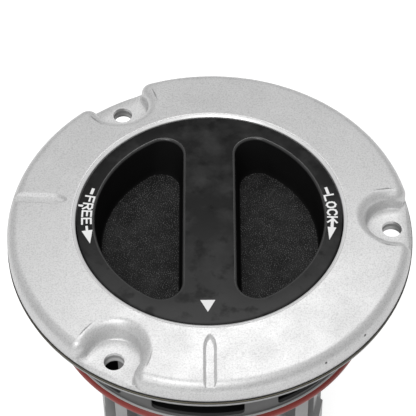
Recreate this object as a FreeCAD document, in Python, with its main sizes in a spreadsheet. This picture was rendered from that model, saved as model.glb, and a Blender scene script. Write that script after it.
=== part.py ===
import FreeCAD, Part
import math
import os
import Sketcher
from FreeCAD import Placement, Rotation, Vector

# A manual locking hub: a cast cover with a turning dial, a windowed cage with a sealing ring,
# and a splined body in which a sliding clutch ring joins the drive hub to the wheel.
# Millimetres and degrees. +Z points out of the wheel, towards the dial. The origin is the
# centre of the flange's seating face, on the spin axis.

SIZES = {
    # motion
    "turn_angle": 99.4,
    "clutch_stroke": 7.0,
    "play": 0.3,
    "face_gap": 0.05,
    # cover
    "cover_overhang": 0.2,
    "cover_thick": 7.9,
    "crown_drop": 1.6,
    "shoulder_round": 2.3,
    "mouth_round": 3.2,
    "bore_chamfer": 0.9,
    "ledge_height": 2.8,
    "pocket_half_width": 7.5,
    "pocket_floor_thick": 1.0,
    "pocket_edge": 0.8,
    "pocket_edge_span": 19.0,
    "bolt_edge": 5.45,
    "bolt_hole_radius": 2.75,
    "mark_inset": 2.9,
    "mark_width": 3.6,
    "mark_depth": 0.7,
    "mark_side_taper": 45.0,
    "core_inner_wall": 2.4,
    "core_outer_wall": 3.6,
    "core_depth": 3.2,
    "core_span": 32.0,
    # gasket and flange
    "gasket_thick": 1.1,
    "gasket_overhang": 0.2,
    "flange_thick": 1.4,
    "flange_width": 10.6,
    # dial
    "dial_radius": 36.5,
    "dial_gap": 0.4,
    "dial_recess": 0.2,
    "dial_edge": 0.4,
    "collar_width": 4.3,
    "collar_thick": 2.1,
    "well_rim": 4.9,
    "well_depth": 13.0,
    "well_corner": 5.6,
    "well_outer_draft": 2.2,
    "well_bar_draft": 1.1,
    "well_rim_round": 0.6,
    "well_floor_round": 0.8,
    "grip_half_width": 7.3,
    "grip_wall": 2.4,
    "dial_wall": 2.2,
    "lug_width": 9.0,
    "lug_count": 4,
    "dial_ring_section": 1.9,
    "dial_ring_depth": 3.6,
    # cage
    "neck_wall": 3.7,
    "neck_depth": 22.3,
    "lip_height": 1.5,
    "lip_step": 0.6,
    "window_top": 2.5,
    "window_width": 25.5,
    "window_round": 1.2,
    "window_count": 8,
    "window_phase": -4.8,
    "floor_thick": 5.7,
    "ring_section": 3.0,
    "ring_groove_height": 3.9,
    "ring_groove_depth": 1.9,
    "ring_wall_inset": 1.2,
    "floor_width": 13.6,
    # cam sleeve and follower
    "sleeve_gap": 0.7,
    "sleeve_wall": 3.8,
    "cam_groove_depth": 2.6,
    "cam_gap": 0.15,
    "pin_radius": 2.4,
    "pin_drop": 9.8,
    "pin_count": 3,
    "washer_thick": 0.8,
    "follower_gap": 0.4,
    "follower_ring_wall": 3.6,
    "follower_ring_height": 6.6,
    "follower_web": 1.8,
    "follower_tube_wall": 2.1,
    "spigot_length": 6.0,
    "spigot_wall": 2.2,
    # splined body
    "body_length": 94.6,
    "body_flange_rim": 3.6,
    "body_flange_thick": 3.4,
    "body_wall": 2.7,
    "tooth_height": 3.4,
    "tooth_width": 6.3,
    "tooth_count": 14,
    "tooth_phase": 12.0,
    "tooth_top": 34.0,
    "tooth_end": 93.4,
    "tooth_bevel": 2.4,
    "low_tooth_height": 1.8,
    "low_tooth_length": 38.0,
    "low_tooth_span": 14.0,
    "step_tooth_length": 37.3,
    "step_tooth_depth": 2.0,
    "step_tooth_bevel": 1.1,
    "seal_section": 1.8,
    "seal_inset": 2.3,
    "body_screw_inset": 7.1,
    "body_screw_radius": 2.0,
    "body_screw_head_radius": 3.8,
    "body_screw_length": 8.9,
    "body_screw_count": 6,
    # clutch ring
    "clutch_top": 37.0,
    "clutch_height": 15.0,
    "spline_count": 24,
    "spline_height": 1.6,
    "spline_gap": 0.2,
    "spline_width": 3.3,
    "clutch_wall": 2.6,
    "dog_height": 1.8,
    "dog_width": 2.7,
    "dog_length": 7.0,
    "dog_gap": 0.3,
    "dog_clearance": 1.2,
    "clip_width": 1.1,
    "clip_bite": 0.6,
    # drive hub
    "hub_top": 38.0,
    "hub_step": 0.8,
    "gear_length": 12.8,
    "hub_wall": 3.95,
    "axle_spline_height": 1.4,
    "axle_spline_count": 30,
    "axle_spline_width": 1.7,
    "bush_gap": 0.05,
    "bush_wall": 4.55,
    "bush_length": 10.6,
    "bush_level": 81.2,
    "thrust_thick": 1.15,
    "hub_clip_height": 3.0,
    # return spring
    "spring_wire": 2.0,
    "spring_turns": 5.0,
    "spring_gap": 0.4,
    "seat_thick": 1.2,
}


class Size:
    """A length, count or angle: its value now and the sheet expression that gives it."""

    def __init__(self, value, text):
        self.value = float(value)
        self.text = text

    def __add__(self, other):
        other = as_size(other)
        return Size(self.value + other.value, "({} + {})".format(self.text, other.text))

    def __sub__(self, other):
        other = as_size(other)
        return Size(self.value - other.value, "({} - {})".format(self.text, other.text))

    def __mul__(self, other):
        other = as_size(other)
        return Size(self.value * other.value, "({} * {})".format(self.text, other.text))

    def __truediv__(self, other):
        other = as_size(other)
        return Size(self.value / other.value, "({} / {})".format(self.text, other.text))

    def __neg__(self):
        return Size(-self.value, "(-1 * {})".format(self.text))


def as_size(number):
    return number if isinstance(number, Size) else Size(number, "({:g})".format(number))


def cosine(angle):
    return Size(math.cos(math.radians(angle.value)), "cos({})".format(angle.text))


def sine(angle):
    return Size(math.sin(math.radians(angle.value)), "sin({})".format(angle.text))


class Sheet:
    """The spreadsheet of driving sizes, each read back as a Size by its alias."""

    def __init__(self, doc, sizes):
        self.sheet = doc.addObject("Spreadsheet::Sheet", "Sizes")
        for row, (name, value) in enumerate(sizes.items(), start=1):
            self.sheet.set("A{}".format(row), name)
            self.sheet.set("B{}".format(row), str(value))
            self.sheet.setAlias("B{}".format(row), name)
        doc.recompute()

    def __getattr__(self, name):
        return Size(getattr(self.sheet, name), "Sizes.{}".format(name))


doc = FreeCAD.newDocument("LockingHub")
s = Sheet(doc, SIZES)
ZERO = as_size(0)

# Levels along the axis, up from the seat and then down from it.
gasket_top = s.flange_thick + s.gasket_thick
cover_top = gasket_top + s.cover_thick
ledge = gasket_top + s.ledge_height
dial_top = cover_top - s.dial_recess
collar_top = ledge - s.play
collar_bottom = collar_top - s.collar_thick
well_floor = dial_top - s.well_depth
dial_bottom = well_floor - s.dial_wall
pocket_floor = gasket_top + s.pocket_floor_thick
floor_top = -s.neck_depth
lip_top = floor_top + s.lip_height
floor_bottom = floor_top - s.floor_thick
washer_top = floor_top + s.washer_thick
sleeve_bottom = washer_top + s.face_gap
pin_level = -s.pin_drop
ring_bottom = pin_level - s.follower_ring_height / 2
web_bottom = ring_bottom - s.follower_web
body_bottom = -s.body_length
clutch_top = -s.clutch_top
clutch_bottom = clutch_top - s.clutch_height
gear_top = clutch_bottom - s.dog_clearance
gear_bottom = gear_top - s.gear_length
bush_top = -s.bush_level
spring_top = clutch_bottom - s.face_gap
spring_bottom = bush_top + s.seat_thick + s.face_gap
shoulder_level = bush_top + s.thrust_thick + s.face_gap
bush_bottom = bush_top - s.bush_length
hub_clip_top = bush_bottom - s.play
hub_bottom = body_bottom + s.play

# Radii outwards from the dial, each a wall or a gap away from the one before.
cover_bore = s.dial_radius + s.dial_gap
collar_radius = s.dial_radius + s.collar_width
counterbore = collar_radius + s.dial_gap
neck_bore = collar_radius + s.sleeve_gap
neck_radius = neck_bore + s.neck_wall
flange_radius = neck_radius + s.flange_width
cover_radius = flange_radius + s.cover_overhang
gasket_radius = cover_radius + s.gasket_overhang
bolt_circle = cover_radius - s.bolt_edge
mark_inner_radius = cover_bore + s.mark_inset
core_inner_radius = counterbore + s.core_inner_wall
core_outer_radius = cover_radius - s.core_outer_wall
ring_groove_radius = neck_radius - s.ring_groove_depth
ring_wall_radius = neck_radius - s.ring_wall_inset

# Radii inwards from the collar to the axle.
well_radius = s.dial_radius - s.well_rim
bucket_radius = well_radius + s.grip_wall
sleeve_outer = collar_radius
sleeve_inner = sleeve_outer - s.sleeve_wall
follower_outer = sleeve_inner - s.follower_gap
throat_radius = neck_bore - s.floor_width
body_screw_circle = neck_bore - s.body_screw_inset
body_flange_radius = body_screw_circle + s.body_flange_rim
seal_circle_radius = throat_radius + s.seal_inset
body_root_radius = throat_radius + s.body_wall
tooth_tip_radius = body_root_radius + s.tooth_height
clutch_outer = throat_radius - s.spline_gap
clutch_root = clutch_outer - s.spline_height
follower_tube = clutch_root - s.spline_gap / 2
clutch_bore_radius = clutch_root - s.clutch_wall
dog_tip = clutch_bore_radius - s.dog_height
gear_tip = clutch_bore_radius - s.dog_gap
gear_root = gear_tip - s.dog_height
hub_radius = gear_root - s.hub_step
axle_spline_radius = hub_radius - s.hub_wall
bush_outer = hub_radius + s.bush_gap + s.bush_wall
spring_radius = throat_radius - s.spring_gap - s.spring_wire / 2
cam_radius = sleeve_inner + s.cam_groove_depth
groove_reach = (s.pin_radius + s.cam_gap) / sleeve_inner * (180 / math.pi)

made = []


# Sketches and features.

def new_body(name, turn=None):
    body = doc.addObject("PartDesign::Body", name)
    body.Label = name
    body.AllowCompound = True
    if turn is not None:
        body.Placement = Placement(Vector(), Rotation(Vector(0, 0, 1), turn.value))
        body.setExpression("Placement.Rotation.Angle", turn.text)
    made.append(body)
    return body


def new_sketch(body, name, role, level=None):
    sketch = body.newObject("Sketcher::SketchObject", name)
    plane = [part for part in body.Origin.OriginFeatures if part.Role == role][0]
    sketch.AttachmentSupport = (plane, [""])
    sketch.MapMode = "FlatFace"
    if level is not None:
        sketch.AttachmentOffset = Placement(Vector(0, 0, level.value), Rotation())
        sketch.setExpression("AttachmentOffset.Base.z", level.text)
    return sketch


def bind(sketch, constraint, size):
    index = sketch.addConstraint(constraint)
    sketch.setExpression("Constraints[{}]".format(index), size.text)
    return index


def fix(sketch, geometry, end, x, y):
    """Hold one point of the sketch at x, y, measured from the sketch's origin."""
    if x.value == 0:
        sketch.addConstraint(Sketcher.Constraint("PointOnObject", geometry, end, -2))
    else:
        bind(sketch, Sketcher.Constraint("DistanceX", -1, 1, geometry, end, x.value), x)
    if y.value == 0:
        sketch.addConstraint(Sketcher.Constraint("PointOnObject", geometry, end, -1))
    else:
        bind(sketch, Sketcher.Constraint("DistanceY", -1, 1, geometry, end, y.value), y)


def polygon(sketch, points):
    """Close a loop of straight lines through the points, each a pair of Sizes."""
    first = sketch.GeometryCount
    count = len(points)
    for index in range(count):
        start = points[index]
        end = points[(index + 1) % count]
        sketch.addGeometry(Part.LineSegment(Vector(start[0].value, start[1].value, 0),
                                            Vector(end[0].value, end[1].value, 0)))
    for index in range(count):
        following = (index + 1) % count
        sketch.addConstraint(Sketcher.Constraint("Coincident", first + index, 2,
                                                 first + following, 1))
    for index, (x, y) in enumerate(points):
        fix(sketch, first + index, 1, x, y)


def circle(sketch, x, y, radius):
    index = sketch.addGeometry(Part.Circle(Vector(x.value, y.value, 0), Vector(0, 0, 1),
                                           radius.value))
    fix(sketch, index, 3, x, y)
    bind(sketch, Sketcher.Constraint("Radius", index, radius.value), radius)


def box_points(x_low, x_high, y_low, y_high):
    return [(x_low, y_low), (x_high, y_low), (x_high, y_high), (x_low, y_high)]


def turned(body, name, points):
    """Revolve a half section, given as radius and height pairs, about the spin axis."""
    sketch = new_sketch(body, name + "Section", "XZ_Plane")
    polygon(sketch, points)
    feature = body.newObject("PartDesign::Revolution", name)
    feature.Profile = sketch
    feature.ReferenceAxis = (sketch, ["V_Axis"])
    feature.Angle = 360
    return feature


def turned_cut(body, name, points):
    sketch = new_sketch(body, name + "Section", "XZ_Plane")
    polygon(sketch, points)
    feature = body.newObject("PartDesign::Groove", name)
    feature.Profile = sketch
    feature.ReferenceAxis = (sketch, ["V_Axis"])
    feature.Angle = 360
    return feature


def extrude(body, kind, name, sketch, length, reverse=False, both_sides=False):
    feature = body.newObject("PartDesign::" + kind, name)
    feature.Profile = sketch
    feature.Length = length.value
    feature.setExpression("Length", length.text)
    feature.Reversed = reverse
    if both_sides:
        feature.SideType = "Symmetric"
    return feature


def around(body, name, features, count, angle=None):
    """Repeat features about the spin axis, evenly unless an angle is given."""
    feature = body.newObject("PartDesign::PolarPattern", name)
    feature.Originals = features
    axis = [part for part in body.Origin.OriginFeatures if part.Role == "Z_Axis"][0]
    feature.Axis = (axis, [""])
    feature.Angle = 360
    if angle is not None:
        feature.Angle = angle.value
        feature.setExpression("Angle", angle.text)
    feature.Occurrences = int(count.value)
    feature.setExpression("Occurrences", count.text)
    body.Tip = feature
    return feature


def edges_where(shape, wanted):
    return ["Edge{}".format(index) for index, edge in enumerate(shape.Edges, start=1)
            if wanted(edge)]


def dress(body, kind, name, wanted, size):
    """Fillet or chamfer the edges of the body's tip that the test accepts."""
    doc.recompute()
    base = body.Tip
    names = edges_where(base.Shape, wanted)
    if not names:
        raise RuntimeError("{}: no edges found".format(name))
    feature = body.newObject("PartDesign::" + kind, name)
    feature.Base = (base, names)
    prop = "Radius" if kind == "Fillet" else "Size"
    setattr(feature, prop, size.value)
    feature.setExpression(prop, size.text)
    body.Tip = feature
    doc.recompute()
    return feature


def ring_of_section(name, radius, level, section, draw=circle):
    """A rubber ring about the spin axis, its section drawn round or eight-sided."""
    body = new_body(name)
    sketch = new_sketch(body, name + "_section", "XZ_Plane")
    draw(sketch, radius, level, section / 2)
    feature = body.newObject("PartDesign::Revolution", name + "_turn")
    feature.Profile = sketch
    feature.ReferenceAxis = (sketch, ["V_Axis"])
    feature.Angle = 360
    return body


def middle(edge):
    return edge.valueAt((edge.FirstParameter + edge.LastParameter) / 2)


def near(value, size, slack=0.05):
    return abs(value - size.value) < slack


# The cover: a crowned ring with three bolt pockets open at the rim and two index marks.

def make_cover():
    body = new_body("cover")
    turned(body, "CoverBlank", [
        (counterbore, gasket_top),
        (cover_radius, gasket_top),
        (cover_radius, cover_top - s.crown_drop),
        (cover_bore + s.bore_chamfer, cover_top),
        (cover_bore, cover_top - s.bore_chamfer),
        (cover_bore, ledge),
        (counterbore, ledge),
    ])
    # pocket: a half round about the bolt hole, run out to a mouth with rounded corners
    sketch = new_sketch(body, "PocketOutline", "XY_Plane", pocket_floor)
    pocket_outline(sketch, bolt_circle, s.pocket_half_width, s.mouth_round,
                   cover_radius)
    pocket = extrude(body, "Pocket", "BoltPocket", sketch, s.cover_thick, reverse=True)
    # bevel along the pocket floor's rim
    sketch = new_sketch(body, "PocketEdgeSection", "XZ_Plane")
    over = as_size(0.2)
    out = as_size(0.5)
    polygon(sketch, [(cover_radius - s.pocket_edge - over, pocket_floor + over),
                     (cover_radius + out, pocket_floor + over),
                     (cover_radius + out, pocket_floor - s.pocket_edge - out)])
    edge = body.newObject("PartDesign::Groove", "PocketEdge")
    edge.Profile = sketch
    edge.ReferenceAxis = (sketch, ["V_Axis"])
    edge.Midplane = True
    edge.Angle = s.pocket_edge_span.value
    edge.setExpression("Angle", s.pocket_edge_span.text)
    sketch = new_sketch(body, "BoltHoleOutline", "XY_Plane", pocket_floor)
    circle(sketch, bolt_circle, ZERO, s.bolt_hole_radius)
    hole = extrude(body, "Pocket", "BoltHole", sketch, s.pocket_floor_thick + 1)
    around(body, "BoltPockets", [pocket, edge, hole], as_size(3))

    def pocket_top_or_shoulder(edge):
        point = middle(edge)
        ends = [vertex.Point.z for vertex in edge.Vertexes]
        upright = len(ends) == 2 and abs(ends[0] - ends[1]) > s.crown_drop.value * 1.2
        inner_end = bolt_circle.value - s.pocket_half_width.value
        outside = math.hypot(point.x, point.y) > inner_end - 0.1
        return not upright and point.z > pocket_floor.value + 2 and outside

    dress(body, "Fillet", "ShoulderRound", pocket_top_or_shoulder, s.shoulder_round)
    # index marks, tilted to follow the crown
    slope = math.degrees(math.atan2(s.crown_drop.value,
                                    cover_radius.value - cover_bore.value
                                    - s.bore_chamfer.value))
    sketch = new_sketch(body, "MarkOutline", "XY_Plane")
    mark_outline(sketch)
    tilt = Rotation(Vector(0, 1, 0), slope)
    turn = Rotation(Vector(0, 0, 1), 270)
    lift = (cover_top.value + math.tan(math.radians(slope))
            * (cover_bore.value + s.bore_chamfer.value))
    sketch.AttachmentOffset = Placement(Vector(0, 0, lift), turn.multiply(tilt))
    mark = extrude(body, "Pocket", "IndexMark", sketch, s.mark_depth)
    taper = -s.mark_side_taper
    mark.TaperAngle = taper.value
    mark.setExpression("TaperAngle", taper.text)
    marks = around(body, "IndexMarks", [mark], as_size(2), s.turn_angle)
    marks.Reversed = True
    # cored underside, one recess each side of every bolt pocket
    sketch = new_sketch(body, "CoreOutline", "XY_Plane", gasket_top)
    sector(sketch, core_inner_radius, core_outer_radius, s.core_span)
    core = extrude(body, "Pocket", "Core", sketch, s.core_depth, reverse=True)
    around(body, "Cores", [core], as_size(6))
    return body


def pocket_outline(sketch, centre, half_width, corner, rim):
    """A half round about (centre, 0), straight sides, and corners that turn out to the rim."""
    c, w, f, R = centre.value, half_width.value, corner.value, rim.value
    turn_x = math.sqrt((R - f) ** 2 - (w + f) ** 2)
    touch = math.atan2(w + f, turn_x)
    rim_x, rim_y, out = R * math.cos(touch), R * math.sin(touch), R + 4
    add = sketch.addGeometry
    back = add(Part.ArcOfCircle(Part.Circle(Vector(c, 0, 0), Vector(0, 0, 1), w),
                                math.pi / 2, 3 * math.pi / 2))
    high = add(Part.LineSegment(Vector(c, w, 0), Vector(turn_x, w, 0)))
    low = add(Part.LineSegment(Vector(c, -w, 0), Vector(turn_x, -w, 0)))
    high_arc = add(Part.ArcOfCircle(Part.Circle(Vector(turn_x, w + f, 0), Vector(0, 0, 1), f),
                                    -math.pi / 2, touch))
    low_arc = add(Part.ArcOfCircle(Part.Circle(Vector(turn_x, -w - f, 0), Vector(0, 0, 1), f),
                                   -touch, math.pi / 2))
    low_out = add(Part.LineSegment(Vector(rim_x, -rim_y, 0), Vector(out, -rim_y, 0)))
    far = add(Part.LineSegment(Vector(out, -rim_y, 0), Vector(out, rim_y, 0)))
    high_out = add(Part.LineSegment(Vector(out, rim_y, 0), Vector(rim_x, rim_y, 0)))
    rim_circle = add(Part.Circle(Vector(), Vector(0, 0, 1), R))
    sketch.setConstruction(rim_circle, True)
    hold = sketch.addConstraint
    rule = Sketcher.Constraint
    hold(rule("Coincident", rim_circle, 3, -1, 1))
    bind(sketch, rule("Radius", rim_circle, R), rim)
    fix(sketch, back, 3, centre, ZERO)
    bind(sketch, rule("Radius", back, w), half_width)
    hold(rule("Tangent", back, 1, high, 1))
    hold(rule("Tangent", back, 2, low, 1))
    hold(rule("Tangent", high, 2, high_arc, 1))
    hold(rule("Tangent", low, 2, low_arc, 2))
    hold(rule("Horizontal", high))
    hold(rule("Horizontal", low))
    bind(sketch, rule("Radius", high_arc, f), corner)
    hold(rule("Equal", high_arc, low_arc))
    hold(rule("Tangent", high_arc, 2, rim_circle))
    hold(rule("Tangent", low_arc, 1, rim_circle))
    hold(rule("Coincident", low_arc, 1, low_out, 1))
    hold(rule("Coincident", low_out, 2, far, 1))
    hold(rule("Coincident", far, 2, high_out, 1))
    hold(rule("Coincident", high_out, 2, high_arc, 2))
    hold(rule("Horizontal", low_out))
    hold(rule("Horizontal", high_out))
    hold(rule("Vertical", far))
    bind(sketch, rule("DistanceX", -1, 1, far, 1, out), rim + 4)


def mark_outline(sketch):
    """A bullet shape along +X: a pointed inner end and an open outer end."""
    half = s.mark_width / 2
    tip = mark_inner_radius
    nose = tip + s.mark_width * 1.6
    waist = tip + s.mark_width * 0.55
    end = cover_radius + 3
    polygon(sketch, [
        (tip, ZERO),
        (waist, -half * 0.66),
        (nose, -half),
        (end, -half),
        (end, half),
        (nose, half),
        (waist, half * 0.66),
    ])


def sector(sketch, inner, outer, span):
    """A ring sector centred 30 degrees round from +X."""
    low = 30 - span.value / 2
    high = 30 + span.value / 2
    a, b = math.radians(low), math.radians(high)
    inner_arc = sketch.addGeometry(Part.ArcOfCircle(
        Part.Circle(Vector(), Vector(0, 0, 1), inner.value), a, b))
    outer_arc = sketch.addGeometry(Part.ArcOfCircle(
        Part.Circle(Vector(), Vector(0, 0, 1), outer.value), a, b))
    low_side = sketch.addGeometry(Part.LineSegment(
        Vector(inner.value * math.cos(a), inner.value * math.sin(a), 0),
        Vector(outer.value * math.cos(a), outer.value * math.sin(a), 0)))
    high_side = sketch.addGeometry(Part.LineSegment(
        Vector(inner.value * math.cos(b), inner.value * math.sin(b), 0),
        Vector(outer.value * math.cos(b), outer.value * math.sin(b), 0)))
    for arc, radius in ((inner_arc, inner), (outer_arc, outer)):
        sketch.addConstraint(Sketcher.Constraint("Coincident", arc, 3, -1, 1))
        bind(sketch, Sketcher.Constraint("Radius", arc, radius.value), radius)
    sketch.addConstraint(Sketcher.Constraint("Coincident", low_side, 1, inner_arc, 1))
    sketch.addConstraint(Sketcher.Constraint("Coincident", low_side, 2, outer_arc, 1))
    sketch.addConstraint(Sketcher.Constraint("Coincident", high_side, 1, inner_arc, 2))
    sketch.addConstraint(Sketcher.Constraint("Coincident", high_side, 2, outer_arc, 2))
    start = as_size(30) - span / 2
    stop = as_size(30) + span / 2
    bind(sketch, Sketcher.Constraint("DistanceX", -1, 1, low_side, 1,
                                     inner.value * math.cos(a)), inner * cosine(start))
    bind(sketch, Sketcher.Constraint("DistanceX", -1, 1, low_side, 2,
                                     outer.value * math.cos(a)), outer * cosine(start))
    bind(sketch, Sketcher.Constraint("DistanceX", -1, 1, high_side, 1,
                                     inner.value * math.cos(b)), inner * cosine(stop))
    bind(sketch, Sketcher.Constraint("DistanceX", -1, 1, high_side, 2,
                                     outer.value * math.cos(b)), outer * cosine(stop))


def bolt_holes(body, name, level, depth):
    sketch = new_sketch(body, name + "Outline", "XY_Plane", level)
    circle(sketch, bolt_circle, ZERO, s.bolt_hole_radius)
    hole = extrude(body, "Pocket", name, sketch, depth)
    return around(body, name + "s", [hole], as_size(3))


def make_gasket():
    body = new_body("cover_gasket")
    turned(body, "GasketBlank", box_points(neck_bore, gasket_radius,
                                           s.flange_thick, gasket_top))
    bolt_holes(body, "GasketHole", gasket_top + 1, s.gasket_thick + 2)
    return body


# The cage: flange, windowed neck, and a thick floor whose rim carries the sealing ring.

def make_cage():
    body = new_body("cage")
    lip_radius = neck_radius + s.lip_step
    groove_bottom = floor_top - s.ring_groove_height
    turned(body, "CageBlank", [
        (neck_bore, s.flange_thick),
        (flange_radius, s.flange_thick),
        (flange_radius, ZERO),
        (neck_radius, ZERO),
        (neck_radius, lip_top - s.lip_step),
        (lip_radius, lip_top - s.lip_step * 2),
        (lip_radius, floor_top),
        (ring_groove_radius, floor_top),
        (ring_groove_radius, groove_bottom),
        (ring_wall_radius, groove_bottom),
        (ring_wall_radius, floor_bottom),
        (throat_radius, floor_bottom),
        (throat_radius, floor_top),
        (neck_bore, floor_top),
    ])
    sketch = new_sketch(body, "WindowOutline", "YZ_Plane")
    rounded_box(sketch, s.window_width, lip_top, -s.window_top, s.window_round)
    sketch.AttachmentOffset = Placement(
        Vector(), Rotation(Vector(0, 1, 0), s.window_phase.value))
    sketch.setExpression("AttachmentOffset.Rotation.Angle", s.window_phase.text)
    window = extrude(body, "Pocket", "Window", sketch, neck_radius + 2, reverse=True)
    around(body, "Windows", [window], s.window_count)
    bolt_holes(body, "FlangeHole", s.flange_thick + 1, s.flange_thick + 2)
    sketch = new_sketch(body, "ScrewHoleSection", "XZ_Plane")
    screw_section(sketch, s.play / 2)
    feature = body.newObject("PartDesign::Groove", "ScrewHole")
    feature.Profile = sketch
    feature.ReferenceAxis = (sketch, ["Axis0"])
    feature.Angle = 360
    around(body, "ScrewHoles", [feature], s.body_screw_count)
    return body


def rounded_box(sketch, width, low, high, radius):
    """A box centred on x = 0 between two heights, with rounded corners."""
    half = width / 2
    w, a, b, r = half.value, low.value, high.value, radius.value
    lines = [
        ((-w + r, a), (w - r, a)),
        ((w, a + r), (w, b - r)),
        ((w - r, b), (-w + r, b)),
        ((-w, b - r), (-w, a + r)),
    ]
    corners = [
        ((w - r, a + r), -math.pi / 2, 0),
        ((w - r, b - r), 0, math.pi / 2),
        ((-w + r, b - r), math.pi / 2, math.pi),
        ((-w + r, a + r), math.pi, 3 * math.pi / 2),
    ]
    line_ids = [sketch.addGeometry(Part.LineSegment(Vector(p[0], p[1], 0), Vector(q[0], q[1], 0)))
                for p, q in lines]
    arc_ids = [sketch.addGeometry(Part.ArcOfCircle(
        Part.Circle(Vector(c[0], c[1], 0), Vector(0, 0, 1), r), start, stop))
        for c, start, stop in corners]
    for index in range(4):
        following = line_ids[(index + 1) % 4]
        sketch.addConstraint(Sketcher.Constraint("Tangent", line_ids[index], 2,
                                                 arc_ids[index], 1))
        sketch.addConstraint(Sketcher.Constraint("Tangent", arc_ids[index], 2, following, 1))
        if index:
            sketch.addConstraint(Sketcher.Constraint("Equal", arc_ids[0], arc_ids[index]))
    sketch.addConstraint(Sketcher.Constraint("Horizontal", line_ids[0]))
    sketch.addConstraint(Sketcher.Constraint("Vertical", line_ids[1]))
    sketch.addConstraint(Sketcher.Constraint("Horizontal", line_ids[2]))
    sketch.addConstraint(Sketcher.Constraint("Vertical", line_ids[3]))
    bind(sketch, Sketcher.Constraint("Radius", arc_ids[0], r), radius)
    bind(sketch, Sketcher.Constraint("DistanceX", -1, 1, line_ids[1], 1, w), half)
    bind(sketch, Sketcher.Constraint("DistanceX", -1, 1, line_ids[3], 1, -w), -half)
    bind(sketch, Sketcher.Constraint("DistanceY", -1, 1, line_ids[0], 1, a), low)
    bind(sketch, Sketcher.Constraint("DistanceY", -1, 1, line_ids[2], 1, b), high)


def screw_section(sketch, gap):
    """Half section of a countersunk screw on the screw circle, swollen by a gap."""
    x = body_screw_circle
    axis = sketch.addGeometry(Part.LineSegment(Vector(x.value, 0, 0), Vector(x.value, 10, 0)))
    sketch.setConstruction(axis, True)
    fix(sketch, axis, 1, x, ZERO)
    fix(sketch, axis, 2, x, as_size(10))
    shank = s.body_screw_radius + gap
    head = s.body_screw_head_radius + gap
    top = floor_top
    cone = head - shank
    if gap.value:
        polygon(sketch, [(x, floor_bottom - 1), (x + shank, floor_bottom - 1),
                         (x + shank, top - cone), (x + head, top), (x + head, top + 1),
                         (x, top + 1)])
    else:
        polygon(sketch, [(x, floor_top - s.body_screw_length),
                         (x + shank, floor_top - s.body_screw_length),
                         (x + shank, top - cone), (x + head, top), (x, top)])


def make_body_screws():
    body = new_body("body_screws")
    sketch = new_sketch(body, "ScrewSection", "XZ_Plane")
    screw_section(sketch, ZERO)
    screw = body.newObject("PartDesign::Revolution", "Screw")
    screw.Profile = sketch
    screw.ReferenceAxis = (sketch, ["Axis0"])
    screw.Angle = 360
    sketch = new_sketch(body, "SocketOutline", "XY_Plane", floor_top)
    hexagon(sketch, body_screw_circle, s.body_screw_radius * 0.72)
    socket = extrude(body, "Pocket", "Socket", sketch, s.body_screw_radius * 0.9)
    around(body, "Screws", [screw, socket], s.body_screw_count)
    return body


def hexagon(sketch, centre, radius):
    points = []
    for index in range(6):
        angle = math.radians(60 * index)
        y = radius * math.sin(angle) if index % 3 else ZERO
        points.append((centre + radius * math.cos(angle), y))
    polygon(sketch, points)


# The dial: a shallow drum with two finger wells that leave a grip bar between them.

def make_dial():
    body = new_body("dial")
    ring_level = dial_top - s.dial_ring_depth
    half_groove = s.dial_ring_section * 0.6
    groove_radius = cover_bore - s.face_gap - s.dial_ring_section
    turned(body, "DialBlank", [
        (ZERO, dial_bottom),
        (bucket_radius, dial_bottom),
        (bucket_radius, collar_bottom),
        (collar_radius, collar_bottom),
        (collar_radius, collar_top),
        (s.dial_radius, collar_top),
        (s.dial_radius, ring_level - half_groove),
        (groove_radius, ring_level - half_groove),
        (groove_radius, ring_level + half_groove),
        (s.dial_radius, ring_level + half_groove),
        (s.dial_radius, dial_top - s.dial_edge),
        (s.dial_radius - s.dial_edge, dial_top),
        (ZERO, dial_top),
    ])
    top = new_sketch(body, "WellRim", "XY_Plane", dial_top)
    well_outline(top, well_radius, s.grip_half_width, s.well_corner)
    floor = new_sketch(body, "WellFloor", "XY_Plane", well_floor)
    well_outline(floor, well_radius - s.well_outer_draft,
                 s.grip_half_width + s.well_bar_draft, s.well_corner)
    well = body.newObject("PartDesign::SubtractiveLoft", "Well")
    well.Profile = top
    well.Sections = [floor]
    well.Ruled = True
    around(body, "Wells", [well], as_size(2))
    dress(body, "Fillet", "WellRimRound",
          lambda edge: near(middle(edge).z, dial_top)
          and math.hypot(middle(edge).x, middle(edge).y) < well_radius.value + 0.5,
          s.well_rim_round)
    dress(body, "Fillet", "WellFloorRound",
          lambda edge: near(middle(edge).z, well_floor)
          and abs(middle(edge).x) > s.grip_half_width.value, s.well_floor_round)
    sketch = new_sketch(body, "GripCoreOutline", "XY_Plane", dial_bottom)
    core_half = s.grip_half_width - s.grip_wall
    polygon(sketch, box_points(-core_half, core_half, -well_radius * 0.85,
                               well_radius * 0.85))
    extrude(body, "Pocket", "GripCore", sketch, dial_top - dial_bottom - s.grip_wall * 1.5,
            reverse=True)
    sketch = new_sketch(body, "LugNotchOutline", "XY_Plane", collar_bottom)
    polygon(sketch, box_points(bucket_radius + 0.5, collar_radius + 1,
                               -s.lug_width / 2 - s.face_gap, s.lug_width / 2 + s.face_gap))
    notch = extrude(body, "Pocket", "LugNotch", sketch, s.collar_thick, reverse=True)
    around(body, "LugNotches", [notch], s.lug_count)
    return body


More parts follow.
